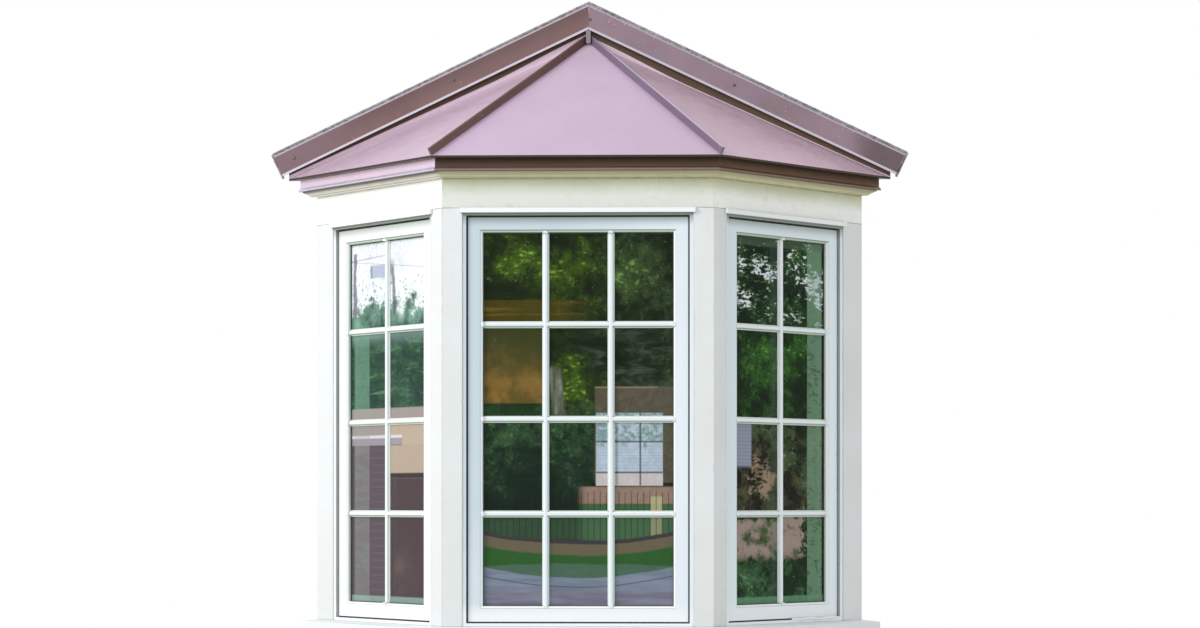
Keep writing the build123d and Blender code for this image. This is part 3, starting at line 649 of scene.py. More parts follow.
def bar_coat(side, main, cool, pale):
    """Coat for small mouldings, with painted light and shade by the way their sides face."""
    axes = windows[side]["axes"]
    finish = Finish("bar_white_" + side, main)
    lay, step = finish.lay, finish.step
    depth = finish.in_window(axes)[1]
    face = finish.facing()
    sideways = face[0] * axes.col[0].x + face[1] * axes.col[0].y
    soft = finish.cloud(3.0, 4, 0.6)
    lay(step(soft, 0.35, 0.7) * 0.35, cool)
    # Painted shade on the fillets next to the glass.
    lay(step(depth, FILLET_DEPTH, FILLET_DEPTH + 0.001) * 0.6, (206, 222, 208))
    # Painted shade on sides that face one way, painted light on sides that face the other way and on faces that look
    # up.
    lay(step(sideways, 0.1, 0.38) * 0.85, cool)
    lay(step(sideways, -0.1, -0.38), pale)
    lay(step(face[2], 0.08, 0.34), pale)
    # Painted shade on faces that look down, a painted shadow line along the top edge of the head bead, and deeper shade
    # on steep undersides.
    lay(step(face[2], -0.1, -0.4) * 0.85, (182, 202, 178))
    lay(step(finish.z, SIGHT_HIGH + 0.0066, SIGHT_HIGH + 0.0080) * 0.7, (104, 122, 104))
    lay(step(face[2], -0.5, -0.85) * 0.8, (128, 148, 126))
    return factory_coat(finish, soft, 0.003, 0.2, (104, 116, 102), 0.6)


# Each window's bars carry painted light: the left ones are painted nearly white.
bar_coats = {
    "front": bar_coat("front", (226, 236, 243), (228, 244, 248), (254, 255, 255)),
    "left": bar_coat("left", (242, 246, 246), (226, 236, 234), (248, 250, 250)),
    "right": bar_coat("right", (236, 246, 251), (222, 238, 244), (248, 252, 252)),
}
print("bar coats:", [coat.name for coat in bar_coats.values()])

# %% [markdown]
# ## Timber behind the paint
#
# From the wall side the carcass shows: a ledger, rims, rafters and a plywood deck. Sawn softwood
# has long grain along the board. The rafters all radiate from the apex and the rims follow the
# three faces, so the grain's coordinates are worked out from the place: distance from the apex
# line for rafters, and distance along the face for the rims.

# %% Sawn timber
WALL_STRIP = 0.045
WALL_SLOPE = math.atan2(0.476, 1.0504)
HIP_SLOPE = math.atan2(0.476, 0.746)
FRONT_SLOPE = math.atan2(0.476, 0.574)

def along_the_bay(finish):
    """Distance along and out from the nearest face of the bay, and the height."""
    reach = abs(finish.x) - HALF_FRONT
    depth = finish.y + PROJECTION
    on_side = finish.step(reach - depth * math.tan(CANT / 2), -0.001, 0.001)
    on_side = on_side * finish.step(finish.y, -WALL_STRIP, -WALL_STRIP - 0.001)
    side_run = reach * math.cos(CANT) + depth * math.sin(CANT)
    side_out = reach * math.sin(CANT) - depth * math.cos(CANT)
    run = finish.x * (1 - on_side) + (side_run + HALF_FRONT) * on_side
    return run, (0 - depth) * (1 - on_side) + side_out * on_side, finish.z


def from_the_apex(finish):
    """Down along the rafter, square to it in its own upright plane, and sideways."""
    flat = finish.vector(finish.x, finish.y, 0.0)
    reach = finish.node("ShaderNodeVectorMath", {"operation": "LENGTH"}, [flat], out="Value")
    share = finish.maths("DIVIDE", abs(finish.y), reach)
    hip, front = finish.step(share, 0.3, 0.6), finish.step(share, 0.87, 0.95)
    slope = hip * (HIP_SLOPE - WALL_SLOPE) + front * (FRONT_SLOPE - HIP_SLOPE) + WALL_SLOPE
    level, steep = finish.maths("COSINE", slope), finish.maths("SINE", slope)
    drop = APEX_HEIGHT - finish.z
    across_hip = abs(finish.x) * 0.77 + finish.y * 0.638
    sideways = finish.y * (1 - hip) + across_hip * (hip - front) + finish.x * front
    return reach * level + drop * steep + front * 3 + hip * 2, reach * steep - drop * level, sideways


def sawn_timber(name, grain_of, light, dark):
    """Softwood with long grain along the board, fine saw marks and a few knots."""
    finish = Finish(name, light)
    run, other, third = grain_of(finish)

    def drawn(along, across):
        return finish.vector(run * along, other * across, third * across)

    grain = finish.cloud(1.0, 6, 0.62, source=drawn(1.3, 40), warp=0.8)
    finish.lay(finish.step(grain, 0.35, 0.68), dark)
    bands = finish.cloud(1.0, 2, source=drawn(0.9, 11), warp=1.4)
    finish.lay(finish.step(bands, 0.45, 0.62) * 0.45, dark)
    finish.lay(finish.dots(1.0, 0.16, source=drawn(3.0, 12)) * 0.75, (92, 58, 34))
    saw = finish.cloud(1.0, 2, source=drawn(260, 3))
    return finish.done(0.78, grain * 0.7 + saw * 0.3, 0.0008)


rim_timber = sawn_timber("rim_timber", along_the_bay, (196, 160, 116), (158, 118, 78))
rafter_timber = sawn_timber("rafter_timber", from_the_apex, (200, 165, 120), (162, 122, 80))
print("timbers:", rim_timber.name, rafter_timber.name)

# %% [markdown]
# Plywood shows a broad, wavy face grain, and at its edges five thin plies. The plies are layers
# under the roof's slope, so their stripe is the depth below the slope. The face's own direction
# says where an edge is cut: there the surface doesn't face the way the slope does.

# %% Plywood
EAVE_REACH = 0.57417
SIDE_REACH = 0.74273
PLY = 0.003

def slope_layers(finish, reach, out_x, out_y):
    """Depth below one roof slope, and how far a surface faces along that slope's normal."""
    rise = APEX_HEIGHT - EAVE_HEIGHT
    normal = Vector((out_x * rise, out_y * rise, reach)) / math.hypot(rise, reach)
    down = (APEX_HEIGHT - finish.z) * normal.z - finish.x * normal.x - finish.y * normal.y
    face = finish.facing()
    return down, abs(face[0] * normal.x + face[1] * normal.y + face[2] * normal.z)


def plywood(name):
    """Veneered board, with its plies showing at the cut edges."""
    finish = Finish(name)
    step = finish.step
    hip = EAVE_REACH / (HALF_FRONT + 0.07 * math.tan(CANT / 2))
    on_right = step(finish.x * hip + finish.y, -0.001, 0.001)
    on_left = step(finish.x * -hip + finish.y, -0.001, 0.001)
    shares = ((1 - on_right) * (1 - on_left), on_right, on_left)
    slopes = [
        slope_layers(finish, reach, x, y)
        for reach, x, y in ((EAVE_REACH, 0, -1), (SIDE_REACH, turn, -turn), (SIDE_REACH, -turn, -turn))]
    down, lies = (sum(slope[part] * share for slope, share in zip(slopes, shares)) for part in (0, 1))
    wave = finish.maths("SINE", down * (math.pi / PLY))
    grain = finish.cloud((3, 24, 24), 5, 0.6, warp=1.6)
    face_tone = finish.mix(step(grain, 0.35, 0.68), (206, 172, 126), (168, 128, 84))
    edge_tone = finish.mix(step(wave, -0.3, 0.3), (190, 152, 106), (128, 92, 60))
    finish.tone = finish.mix(step(lies, 0.75, 0.55), face_tone, edge_tone)
    return finish.done(0.72, grain, 0.0006)


deck_plywood = plywood("deck_plywood")
print("plies at", PLY * 1000, "mm")

# %% [markdown]
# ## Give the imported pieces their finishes
#
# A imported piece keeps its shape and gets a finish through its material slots. Its edges are eased
# a little, as every real board's are, by modifiers that run one after the other: weld the loose
# triangles, dissolve the flat ones into whole faces, then bevel what is left.

# %% Finishes by name
finish_by_start = {
    ("corner_boards", "end_board"): trim_white,
    ("sill",): sill_white,
    ("apron_boards", "base_mouldings"): apron_white,
    ("bottom_board",): foot_white,
    ("corner_post", "wall_post", "seat_board", "head_board"): inner_white,
    ("rafters", "flashing_battens"): rafter_timber,
    ("wall_ledger", "seat_rims", "head_rims", "eave_blocks"): rim_timber,
    ("roof_deck",): deck_plywood,
}
for name in nodes:
    for starts, finish in finish_by_start.items():
        if name.startswith(starts):
            finish_of[name] = finish
    if name.startswith(("window_frame", "sash")):
        finish_of[name] = window_coats[name.rsplit("_", 1)[1]]

for name, finish in finish_of.items():
    for place in nodes[name].material_slots:
        place.material = finish
print("packed pieces with a finish:", len(finish_of), "of", len(nodes))

# %% Eased edges
SEAM_MERGE = 0.00002
BOARD_EASE = 0.0012
WINDOW_EASE = 0.0010

def ease(piece, width):
    """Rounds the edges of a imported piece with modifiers."""
    piece.modifiers.new("weld", "WELD").merge_threshold = SEAM_MERGE
    flat = piece.modifiers.new("flat_faces", "DECIMATE")
    flat.decimate_type = "DISSOLVE"
    flat.angle_limit = math.radians(1)
    soft = piece.modifiers.new("eased_edges", "BEVEL")
    soft.width = width
    soft.segments = 2
    soft.limit_method = "ANGLE"
    soft.angle_limit = math.radians(32)
    soft.use_clamp_overlap = True


for name, piece in nodes.items():
    if name.startswith(("corner_boards", "end_board", "frieze", "apron")):
        ease(piece, BOARD_EASE)
    elif name.startswith(("window_frame", "sash")):
        ease(piece, WINDOW_EASE)
print("pieces eased:", sum(1 for piece in nodes.values() if piece.modifiers))

# %% [markdown]
# ## Building new pieces
#
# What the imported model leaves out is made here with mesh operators: start from a cube, a grid or a
# circle, then inset, extrude and bevel it. Each new piece is drawn in the axes of its own window
# and moved to its place in the mesh, so its object stays at the origin.

# %% Helpers for meshes
NEARLY = 1e-6

def make_piece(name, bm, finishes, axes=None, smooth=30):
    """Turns a bmesh into a finished piece that rides on the bay."""
    if axes:
        bmesh.ops.transform(bm, matrix=axes, verts=bm.verts)
    bmesh.ops.recalc_face_normals(bm, faces=bm.faces)
    mesh = bpy.data.meshes.new(name)
    bm.to_mesh(mesh)
    bm.free()
    for finish in finishes:
        mesh.materials.append(finish)
    mesh.shade_smooth()
    mesh.set_sharp_from_angle(angle=math.radians(smooth))
    piece = bpy.data.objects.new(name, mesh)
    scene.collection.objects.link(piece)
    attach(piece, "root")
    return piece


def block(bm, low, high):
    """A box between two corners. Returns its corner points."""
    size = [b - a for a, b in zip(low, high)]
    middle = [(a + b) / 2 for a, b in zip(low, high)]
    matrix = Matrix.Translation(middle) @ Matrix.Diagonal((*size, 1))
    return bmesh.ops.create_cube(bm, size=1.0, matrix=matrix)["verts"]


def edges_of(verts):
    """Every edge of some points, once."""
    return {edge for vert in verts for edge in vert.link_edges}


def edges_at(verts, axis, value):
    """The edges of some points that lie at one value along an axis."""
    return [edge for edge in edges_of(verts) if all(abs(vert.co[axis] - value) < NEARLY for vert in edge.verts)]


def round_over(bm, edges, width, segments):
    """Rounds some edges."""
    bmesh.ops.bevel(
        bm, geom=list(edges), offset=width, offset_type="OFFSET", segments=segments,
        profile=0.5, affect="EDGES", material=-1, clamp_overlap=True)


def ring(bm, half, low, high, width, front, back):
    """A picture-frame ring between two depths; half, low and high give its outer edge."""
    upright = Matrix.Translation((0, front, (low + high) / 2)) @ Matrix.Rotation(QUARTER, 4, "X")
    middle = flat_grid(bm, 2 * half, high - low, upright)[0].link_faces[0]
    rim = bmesh.ops.inset_region(
        bm, faces=[middle], thickness=width, use_even_offset=True, use_boundary=True)["faces"]
    bmesh.ops.delete(bm, geom=[middle], context="FACES")
    grown = bmesh.ops.extrude_face_region(bm, geom=rim)["geom"]
    moved = [item for item in grown if isinstance(item, bmesh.types.BMVert)]
    bmesh.ops.translate(bm, vec=(0, back - front, 0), verts=moved)
    return {vert for face in rim if face.is_valid for vert in face.verts} | set(moved)


def sight_ring(bm, window, out, width, front, back):
    """A ring that starts a little outside the part of a window where glass shows."""
    return ring(bm, window["sight"] + out, SIGHT_LOW - out, SIGHT_HIGH + out, width, front, back)


trial = bmesh.new()
ring(trial, 0.3, 0.0, 1.0, 0.01, 0.0, 0.01)
print("ring: faces", len(trial.faces), "open edges", sum(not edge.is_manifold for edge in trial.edges))
trial.free()

# %% [markdown]
# ## Glazing bars
#
# The bars that divide each window stand on both sides of the glass. A real bar is a small
# moulding: a thin base with a raised, rounded middle, which leaves a fillet down each side. It is
# made as two strips, one on the other, with their long edges beveled. The level bars are a hair
# lower, so where bars cross, their rounded sides meet in a mitre as real ones do. At the sash a
# bar's end narrows as it crosses the glazing bead, where the two mouldings are mitred.

# %% Moulded bars
BAR_WIDTH = 0.0227
BAR_PROUD = 0.012
BAR_INNER = 0.007
LEVEL_LOWER = 0.0004
PANE_ROWS = 4
FILLET = 0.0038
BASE_DEPTH = 0.0045
BASE_ROUND = 0.0008
RAISED_ROUND = 0.0048
END_ROUND = 0.0012
END_FOOT = 0.029
BEAD_OUT = 0.0096
END_FACE = 0.0142

def strip_along(bm, axis, middle, half, ends, foot, face):
    """A strip along one axis, from a foot at the glass to its face. Returns its points."""
    low, high = [0, min(foot, face), 0], [0, max(foot, face), 0]
    low[axis], high[axis] = min(ends), max(ends)
    low[2 - axis], high[2 - axis] = middle - half, middle + half
    return block(bm, low, high)


def round_long_edges(bm, verts, axis, face, width, segments):
    """Rounds the two edges of a strip's face that run along it."""
    edges = [
        edge for edge in edges_at(verts, 1, face)
        if abs((edge.verts[0].co - edge.verts[1].co)[axis]) > 1e-4]
    round_over(bm, edges, width, segments)


def moulded_bar(bm, axis, middle, ends, foot, face):
    """A bar along one axis: a thin base and a raised middle with rounded edges."""
    depth = abs(face - foot)
    base = foot + math.copysign(min(BASE_DEPTH, depth * 0.45), face - foot)
    for half, front, width in (
            (BAR_WIDTH / 2, base, BASE_ROUND), (BAR_WIDTH / 2 - FILLET, face, min(RAISED_ROUND, depth * 0.5))):
        verts = strip_along(bm, axis, middle, half, ends, foot, front)
        round_long_edges(bm, verts, axis, front, width, 4)


def bar_end(bm, axis, middle, start, stop):
    """The end of a bar, which narrows where it crosses the bead and meets it in a mitre."""
    half = BAR_WIDTH / 2 - FILLET * 0.5
    verts = strip_along(bm, axis, middle, half, (start, stop), END_FOOT, END_FACE)
    for vert in verts:
        if abs(vert.co[axis] - stop) < NEARLY:
            vert.co[2 - axis] = middle + (vert.co[2 - axis] - middle) * 0.5
    round_long_edges(bm, verts, axis, END_FACE, END_ROUND, 3)


def bar_places(first, last, count):
    """The middles of the bars that divide a length into equal panes."""
    pane = (last - first - (count - 1) * BAR_WIDTH) / count
    return [first + index * (pane + BAR_WIDTH) - BAR_WIDTH / 2 for index in range(1, count)]


for name, window in windows.items():
    sides = (-window["sight"], window["sight"])
    heights = (SIGHT_LOW, SIGHT_HIGH)
    uprights = bar_places(*sides, window["panes"])
    levels = bar_places(*heights, PANE_ROWS)
    bm = bmesh.new()
    for foot, proud in ((GLASS_FRONT, -BAR_PROUD), (GLASS_BACK, BAR_INNER)):
        for x in uprights:
            moulded_bar(bm, 2, x, heights, foot, foot + proud)
        for z in levels:
            moulded_bar(bm, 0, z, sides, foot, foot + proud - math.copysign(LEVEL_LOWER, proud))
    for x in uprights:
        bar_end(bm, 2, x, SIGHT_LOW, SIGHT_LOW - BEAD_OUT)
        bar_end(bm, 2, x, SIGHT_HIGH, SIGHT_HIGH + BEAD_OUT)
    for z in levels:
        for edge in sides:
            bar_end(bm, 0, z, edge, edge + math.copysign(BEAD_OUT, edge))
    bars = make_piece("moulded_bars_" + name, bm, [bar_coats[name]], window["axes"])
    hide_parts("bars_" + name)
    print(bars.name, len(bars.data.polygons), "faces")

# %% [markdown]
# A glazing bead holds the glass against the sash. Its face slopes towards the glass and then drops
# square to it. It is a ring like a picture frame, and gets its slope by moving its inner front
# corners back.

# %% Glazing beads
BEAD_FACE = 0.0148
BEAD_SLOPE = 0.0046
BEAD_BACK = 0.0290
SEAL_OUT = 0.0026
BEAD_ROUND = 0.0010

for name, window in windows.items():
    bm = bmesh.new()
    verts = sight_ring(bm, window, BEAD_OUT, BEAD_OUT - SEAL_OUT, BEAD_FACE, BEAD_BACK)
    front = [vert for vert in verts if abs(vert.co.y - BEAD_FACE) < 1e-5]
    inner = [vert for vert in front if abs(vert.co.x) < window["sight"] + (BEAD_OUT + SEAL_OUT) / 2]
    bmesh.ops.translate(bm, vec=(0, BEAD_SLOPE, 0), verts=inner)
    outer_edges = edges_at([vert for vert in front if vert not in inner], 1, BEAD_FACE)
    round_over(bm, edges_at(inner, 1, BEAD_FACE + BEAD_SLOPE) + outer_edges, BEAD_ROUND, 3)
    bead = make_piece("glazing_bead_" + name, bm, [bar_coats[name]], window["axes"])
    print(bead.name, len(bead.data.polygons), "faces, from", len(inner), "sloped corners")

# %% [markdown]
# ## The glass
#
# A sealed unit is two panes with a metal spacer between them near the edge. From the street the outer face is a dark
# mirror: it shows mottled greens above and calmer bands below, and through it the pale reveals and the dim room. A
# render in a white studio has none of that around it, so the outer face carries those tones itself as a painted
# reflection, in soft patches of colour, with the reveals and the room painted in too. The mottle is noise and soft
# blobs of random strength. The bands and the pale reveals are masks on the place in the window.

# %% The outer face
STREET_COVER = 0.94
INNER_COVER = 0.14


class StreetFace(Finish):
    """The street side of a pane: a painted reflection, laid in layers from the back to the front."""

    def __init__(self, name, axes, base):
        super().__init__(name, base)
        self.u = self.in_window(axes)[0]
        noise_colour = self.node(
            "ShaderNodeTexNoise", {}, {"Vector": self.place, "Scale": 11.0, "Detail": 4.0}, out="Color")
        bend = self.node("ShaderNodeVectorMath", {"operation": "SCALE"}, {0: noise_colour, "Scale": 0.055})
        self.bent = self.node("ShaderNodeVectorMath", {"operation": "ADD"}, [self.place, bend])
        self.mass = self.cloud(5.0, 4, 0.55)
        self.clump = self.cloud(15, 4, 0.6)
        self.fine = self.cloud(42, 6, 0.75, warp=0.6)
        self.flecks = self.cloud((46, 46, 84), 3, 0.6, self.bent, 0.5)
        cells = {"Vector": self.stretched((58, 58, 78), source=self.bent), "Scale": 1.0}
        distance, colour = self.outs(self.node("ShaderNodeTexVoronoi", {}, cells, out=None), "Distance", "Color")
        self.blot = self.split(colour)[0] * self.step(distance, 0.66, 0.12)

    def tools(self):
        """Short names for what a pane is painted with."""
        return self.lay, self.mix, self.step, self.near, self.band, self.u, self.z

    def band(self, low, high, soft=0.02, value=None):
        """1 between two heights, or between two values of something else."""
        value = self.z if value is None else value
        return self.step(value, low - soft, low + soft) * self.step(value, high + soft, high - soft)

    def glow(self, *places):
        """A sum of soft places in the window: each one's middle, half sizes and strength."""
        total = 0.0
        for u, z, half_width, half_height, strength in places:
            across = (self.u - u) * (1 / half_width)
            up = (self.z - z) * (1 / half_height)
            total = total + self.step(across * across + up * up, 1.0, 0.1) * strength
        return total

    def lines(self, value, gap, share=0.3):
        """Even fine lines across a value, one in each gap."""
        wave = self.maths("PINGPONG", value, gap / 2)
        return self.step(wave, gap / 2 * (1 - share), gap / 2 * (1 - share * 0.4))

    def mottle(self, dark, middle, light, lit=0.0, amount=1.0):
        """Mottled masses: dark hollows, lighter clumps and small lit spots."""
        depth = self.clump * 0.6 + self.mass * 0.5 + self.fine * 0.55 + lit
        self.lay(self.step(depth, 0.86, 0.72) * amount, dark)
        self.lay(self.step(depth + self.blot * 0.06, 0.82, 1.02) * amount, middle)
        self.lay(self.step(depth + self.blot * 0.16 + self.flecks * 0.7, 1.34, 1.58) * amount, light)

    def bright_gaps(self, colour, least, amount, more=0.0, soft=0.1):
        """Small bright gaps in the mottle."""
        gap = self.flecks * 0.8 + self.clump * 0.5 + self.mass * 0.3 + more
        self.lay(self.step(gap, least, least + soft) * amount, colour)

    def finish_pane(self):
        """A little dust, a faint film, and glass that is nearly clear from behind."""
        self.spots(90, 0.06, 0.6, (214, 220, 220), (5, 1, 0.5, 0.62))
        film = self.step(self.cloud(9, 5), 0.5, 0.8)
        behind = self.node("ShaderNodeNewGeometry", out="Backfacing")
        cover = STREET_COVER - behind * (STREET_COVER - INNER_COVER)
        return self.done(film * 0.05 + 0.02, Alpha=cover, Specular_IOR_Level=0.08)


# %% The front pane, above the middle
# This pane's layers are a painted reflection, with what shows through the glass painted in too.
front = StreetFace("street_glass_front", windows["front"]["axes"], (34, 50, 14))
lay, mix, step, near, band, u, z = front.tools()
fine, clump, mass = front.fine, front.clump, front.mass
low_part, right_part = step(z, 0.86, 0.72), step(u, 0.02, 0.16)
lay(right_part * 0.6, (38, 50, 36))
sunlit = front.glow(
    (-0.17, 1.29, 0.13, 0.10, 0.16), (-0.05, 1.28, 0.10, 0.09, 0.14), (0.18, 1.27, 0.12, 0.12, 0.12),
    (-0.012, 0.93, 0.08, 0.10, 0.12))
middle_tone = mix(right_part * 0.7, (58, 84, 18), (54, 76, 44))
light_tone = mix(right_part * 0.7, (132, 168, 62), (102, 132, 84))
front.mottle((16, 28, 8), middle_tone, light_tone, sunlit - 0.02)
lay(front.dots(60, 0.085, front.bent) * step(z, 1.12, 1.2) * 0.7, (170, 184, 172))
mist = step(front.cloud((7, 7, 22), 5, 0.6, warp=0.5), 0.46, 0.72)
lay(mist * band(0.83, 1.08, 0.05) * step(u, -0.04, 0.08) * 0.6, (84, 104, 88))
front.bright_gaps((150, 172, 170), 1.0, step(z, 1.1, 1.34) * 0.8)
lay(low_part, (28, 48, 32))
front.mottle((14, 32, 20), (50, 82, 50), (84, 124, 78), z * 0.5 - 0.33, low_part)
left_side = step(u, 0.06, -0.10)
lay(band(1.108, 1.178, 0.005) * left_side * 0.75, (76, 66, 12))
warm_grain = step(front.cloud((2.5, 2.5, 80), 4, 0.6), 0.48, 0.68)
lay(band(1.116, 1.172, 0.006) * left_side * warm_grain * 0.6, (150, 122, 46))
warm_side = step(u, -0.105, -0.115)
patchy = step(clump * 0.7 + mass * 0.5, 0.72, 0.52)
lay(band(0.838, 1.10, 0.004) * warm_side * 0.85, mix(step(z, 1.06, 0.86), (62, 62, 32), (142, 108, 52)))
lay(band(0.838, 1.10, 0.004) * warm_side * patchy * 0.62, (54, 64, 22))
lay(step(z, 0.838, 0.834) * step(z, 0.78, 0.79) * warm_side * 0.6, (22, 54, 24))
grain = step(front.cloud((70, 70, 8), 4, 0.6), 0.35, 0.65)
upright = band(-0.092, -0.052, 0.006, u + (z - 0.88) * 0.12) * band(0.80, 0.955, 0.012)
lay(upright * 0.75, mix(grain, (84, 84, 74), (142, 146, 136)))
print("front pane, upper half:", len(front.tree.nodes), "nodes")

# %% The front pane, below the middle
brown_band = band(0.575, 0.892, 0.002) * band(0.054, 0.320, 0.003, u)
lay(brown_band * 0.68, mix(fine, (72, 64, 56), (122, 108, 92)))
lay(band(0.887, 0.892, 0.0015) * band(0.054, 0.26, 0.003, u) * 0.6, (152, 136, 110))
pale_panel = band(0.566, 0.805, 0.002) * band(0.058, 0.278, 0.002, u)
lay(pale_panel, mix(front.lines(z + fine * 0.004, 0.0105) * 0.35, (190, 204, 220), (138, 156, 176)))
green_top = step(z + clump * 0.12, 0.755, 0.775) * step(fine + front.blot * 0.3, 0.42, 0.62)
lay(pale_panel * green_top * 0.85, (92, 138, 116))
lay(pale_panel * step(fine, 0.3, 0.7) * 0.5, (136, 154, 168))
lay(pale_panel * step(z, 0.612, 0.608), mix(fine, (168, 160, 160), (222, 214, 218)))
dark_lines = near(z, 0.711, 0.004, 0.002) + near(z, 0.609, 0.004, 0.002)
dark_lines = dark_lines + near(u, 0.204, 0.004, 0.002) + near(u, 0.127, 0.004, 0.002) * 0.5
lay(pale_panel * dark_lines * 0.8, (74, 78, 74))
far_side = step(u, -0.01, 0.03)
lay(band(0.505, 0.562, 0.004) * far_side * 0.85, mix(fine, (116, 92, 80), (188, 158, 144)))
lay(step(z, 0.508, 0.50) * far_side * 0.75, (72, 112, 72))
lay(band(0.238, 0.276, 0.003, u) * band(0.392, 0.53, 0.003) * 0.8, (184, 176, 136))
lay(band(0.385, 0.470, 0.01) * 0.45, (74, 106, 78))
lay(front.lines(u, 0.0205, 0.22) * band(0.372, 0.545, 0.004) * 0.62, (34, 44, 38))
bow = z - u * u * 0.31 + (mass - 0.5) * 0.02
lay(step(bow, 0.388, 0.382), (62, 58, 62))
lay(step(bow, 0.374, 0.370), (104, 96, 78))
lay(step(bow, 0.340, 0.332), mix(fine * 0.5, (38, 84, 34), (62, 110, 56)))
green_band = z + u * u * 0.10 + (mass - 0.5) * 0.02
lay(step(green_band, 0.312, 0.306), mix(fine * 0.6, (60, 92, 72), (96, 128, 108)))
grey_reach = z - u * u * 0.36 + (mass - 0.5) * 0.015
cool_grey = mix(step(z, 0.25, 0.19), (110, 124, 142), (112, 110, 130))
drift = step(front.cloud((3, 3, 30), 4, 0.6), 0.38, 0.68)
lay(step(grey_reach, 0.264, 0.260), mix(drift * 0.5, cool_grey, (150, 156, 174)))
lay(near(grey_reach, 0.232, 0.003, 0.001) * 0.6, (66, 74, 88))
street_faces = {"front": front.finish_pane()}
print("front pane:", len(front.tree.nodes), "nodes")

# %% The right pane
# This pane's layers are a painted reflection, with what shows through the glass painted in too.
right = StreetFace("street_glass_right", windows["right"]["axes"], (22, 50, 16))
lay, mix, step, near, band, u, z = right.tools()
fine, clump = right.fine, right.clump
lay(step(z, 1.06, 1.14) * 0.5, (20, 44, 22))
sunlit = right.glow((-0.08, 0.98, 0.14, 0.10, 0.16), (0.08, 1.0, 0.1, 0.08, 0.06))
right.mottle((8, 26, 8), (50, 98, 34), (108, 160, 70), sunlit)
right.flecks = right.cloud(1.0, 3, 0.6, right.stretched((40, 40, 96), (0, 0.55, 0), right.bent), 0.4)
gathered = right.glow(
    (-0.09, 1.295, 0.12, 0.06, 0.12), (0.13, 1.285, 0.10, 0.06, 0.09), (-0.18, 1.19, 0.09, 0.05, 0.11),
    (0.18, 1.23, 0.07, 0.07, 0.12), (0.05, 1.13, 0.08, 0.03, 0.10))
high_part = step(z, 1.09, 1.15)
right.bright_gaps((78, 112, 70), 0.80, high_part * 0.6, gathered, 0.12)
right.bright_gaps((232, 238, 250), 0.905, high_part, gathered, 0.065)
right.bright_gaps((156, 158, 166), 0.98, step(z, 1.1, 0.9) * 0.7)
lower = band(0.475, 0.775, 0.006)
lay(lower * 0.7, mix(step(clump, 0.4, 0.65), (34, 28, 20), (96, 78, 66)))
right.mottle((12, 22, 12), (62, 92, 48), (150, 148, 156), u * 0.2 + 0.02, lower * 0.75)
fine_lines = mix(right.lines(z, 0.012) * 0.4, (150, 160, 176), (104, 114, 130))
lay(band(0.63, 0.775, 0.008) * step(u, -0.130, -0.138), fine_lines)
patch = right.glow((-0.09, 0.60, 0.10, 0.12, 0.26)) + clump * 0.6 + right.flecks * 0.4
lay(step(patch, 0.68, 0.78) * lower * 0.8, (172, 150, 126))
ragged = (clump - 0.5) * 0.22 + (fine - 0.5) * 0.12
warm_band = band(0.32, 0.452, 0.01, z + ragged * 0.4) * step(u + ragged, 0.12, 0.10)
lay(warm_band * step(fine * 0.5 + clump, 0.94, 0.68) * 0.9, (172, 154, 144))
low_mass = step(z + clump * 0.16 + fine * 0.06, 0.45, 0.37)
lay(low_mass * 0.8, (28, 52, 28))
right.mottle((16, 40, 20), (66, 108, 70), (128, 166, 130), 0.06, low_mass)
veil = 1 - step(right.flecks * 0.7 + clump * 0.5, 0.60, 0.72) * 0.5
lay(band(0.134, 0.206, 0.002, u) * veil * 0.66, (128, 168, 136))
lay(band(-0.048, -0.012, 0.002, u) * veil * 0.35, (58, 84, 68))
lay(step(z, 1.368, 1.374) * veil * 0.5, (92, 112, 88))
lay(step(z, 0.196, 0.190) * 0.7, (108, 158, 124))
street_faces["right"] = right.finish_pane()
print("right pane:", len(right.tree.nodes), "nodes")

# %% The left pane, above the middle
# This pane's layers are a painted reflection, with what shows through the glass painted in too.
left = StreetFace("street_glass_left", windows["left"]["axes"], (46, 78, 56))
lay, mix, step, near, band, u, z = left.tools()
fine, clump, mass = left.fine, left.clump, left.mass
layers = left.cloud((7, 7, 34), 5, 0.65, warp=0.6)
left.mottle((36, 60, 54), (62, 98, 78), (100, 142, 102), z * 0.4 - 0.38)
middle_part = band(0.82, 1.10, 0.02)
lay(step(layers, 0.52, 0.66) * middle_part * 0.7, (92, 136, 100))
lay(step(layers, 0.50, 0.36) * middle_part * 0.7, (38, 58, 58))
lay(step(z, 1.03, 1.09) * step(z, 1.11, 1.10) * 0.5, (142, 172, 166))
mist = band(1.105, 1.26, 0.03) * step(clump * 0.6 + mass * 0.5, 0.36, 0.62)
lay(mist * 0.66, (152, 194, 178))
bright_reach = z + (mass - 0.5) * 0.34 + (clump - 0.5) * 0.36 + (fine - 0.5) * 0.20
above = step(bright_reach, 1.14, 1.20)
lay(above, (243, 248, 252))
lay(step(left.cloud(9, 4, 0.6), 0.5, 0.75) * above * 0.4, (206, 214, 230))
thin = left.cloud(1.0, 6, 0.7, left.stretched((26, 26, 11), (0, 0.5, 0)), 2.2)
lay(near(thin, 0.5, 0.022, 0.006) * step(mass, 0.40, 0.58) * above * 0.5, (132, 128, 150))
speckled = step(clump * 0.6 + fine * 0.5 + left.blot * 0.2, 0.62, 0.74)
lay(speckled * band(1.14, 1.27, 0.05) * 0.75, (122, 152, 142))
box = band(1.277, 1.321, 0.004)
lay(box * band(-0.100, -0.014, 0.004, u) * 0.7, (150, 162, 196))
lay(box * band(-0.106, -0.094, 0.003, u) * 0.6, (104, 104, 130))
thin_lines = near(z + u * 0.10, 1.318, 0.0022, 0.001)
thin_lines = thin_lines + near(z - u * 0.05, 1.352, 0.0036, 0.002) * step(u, 0.0, -0.02)
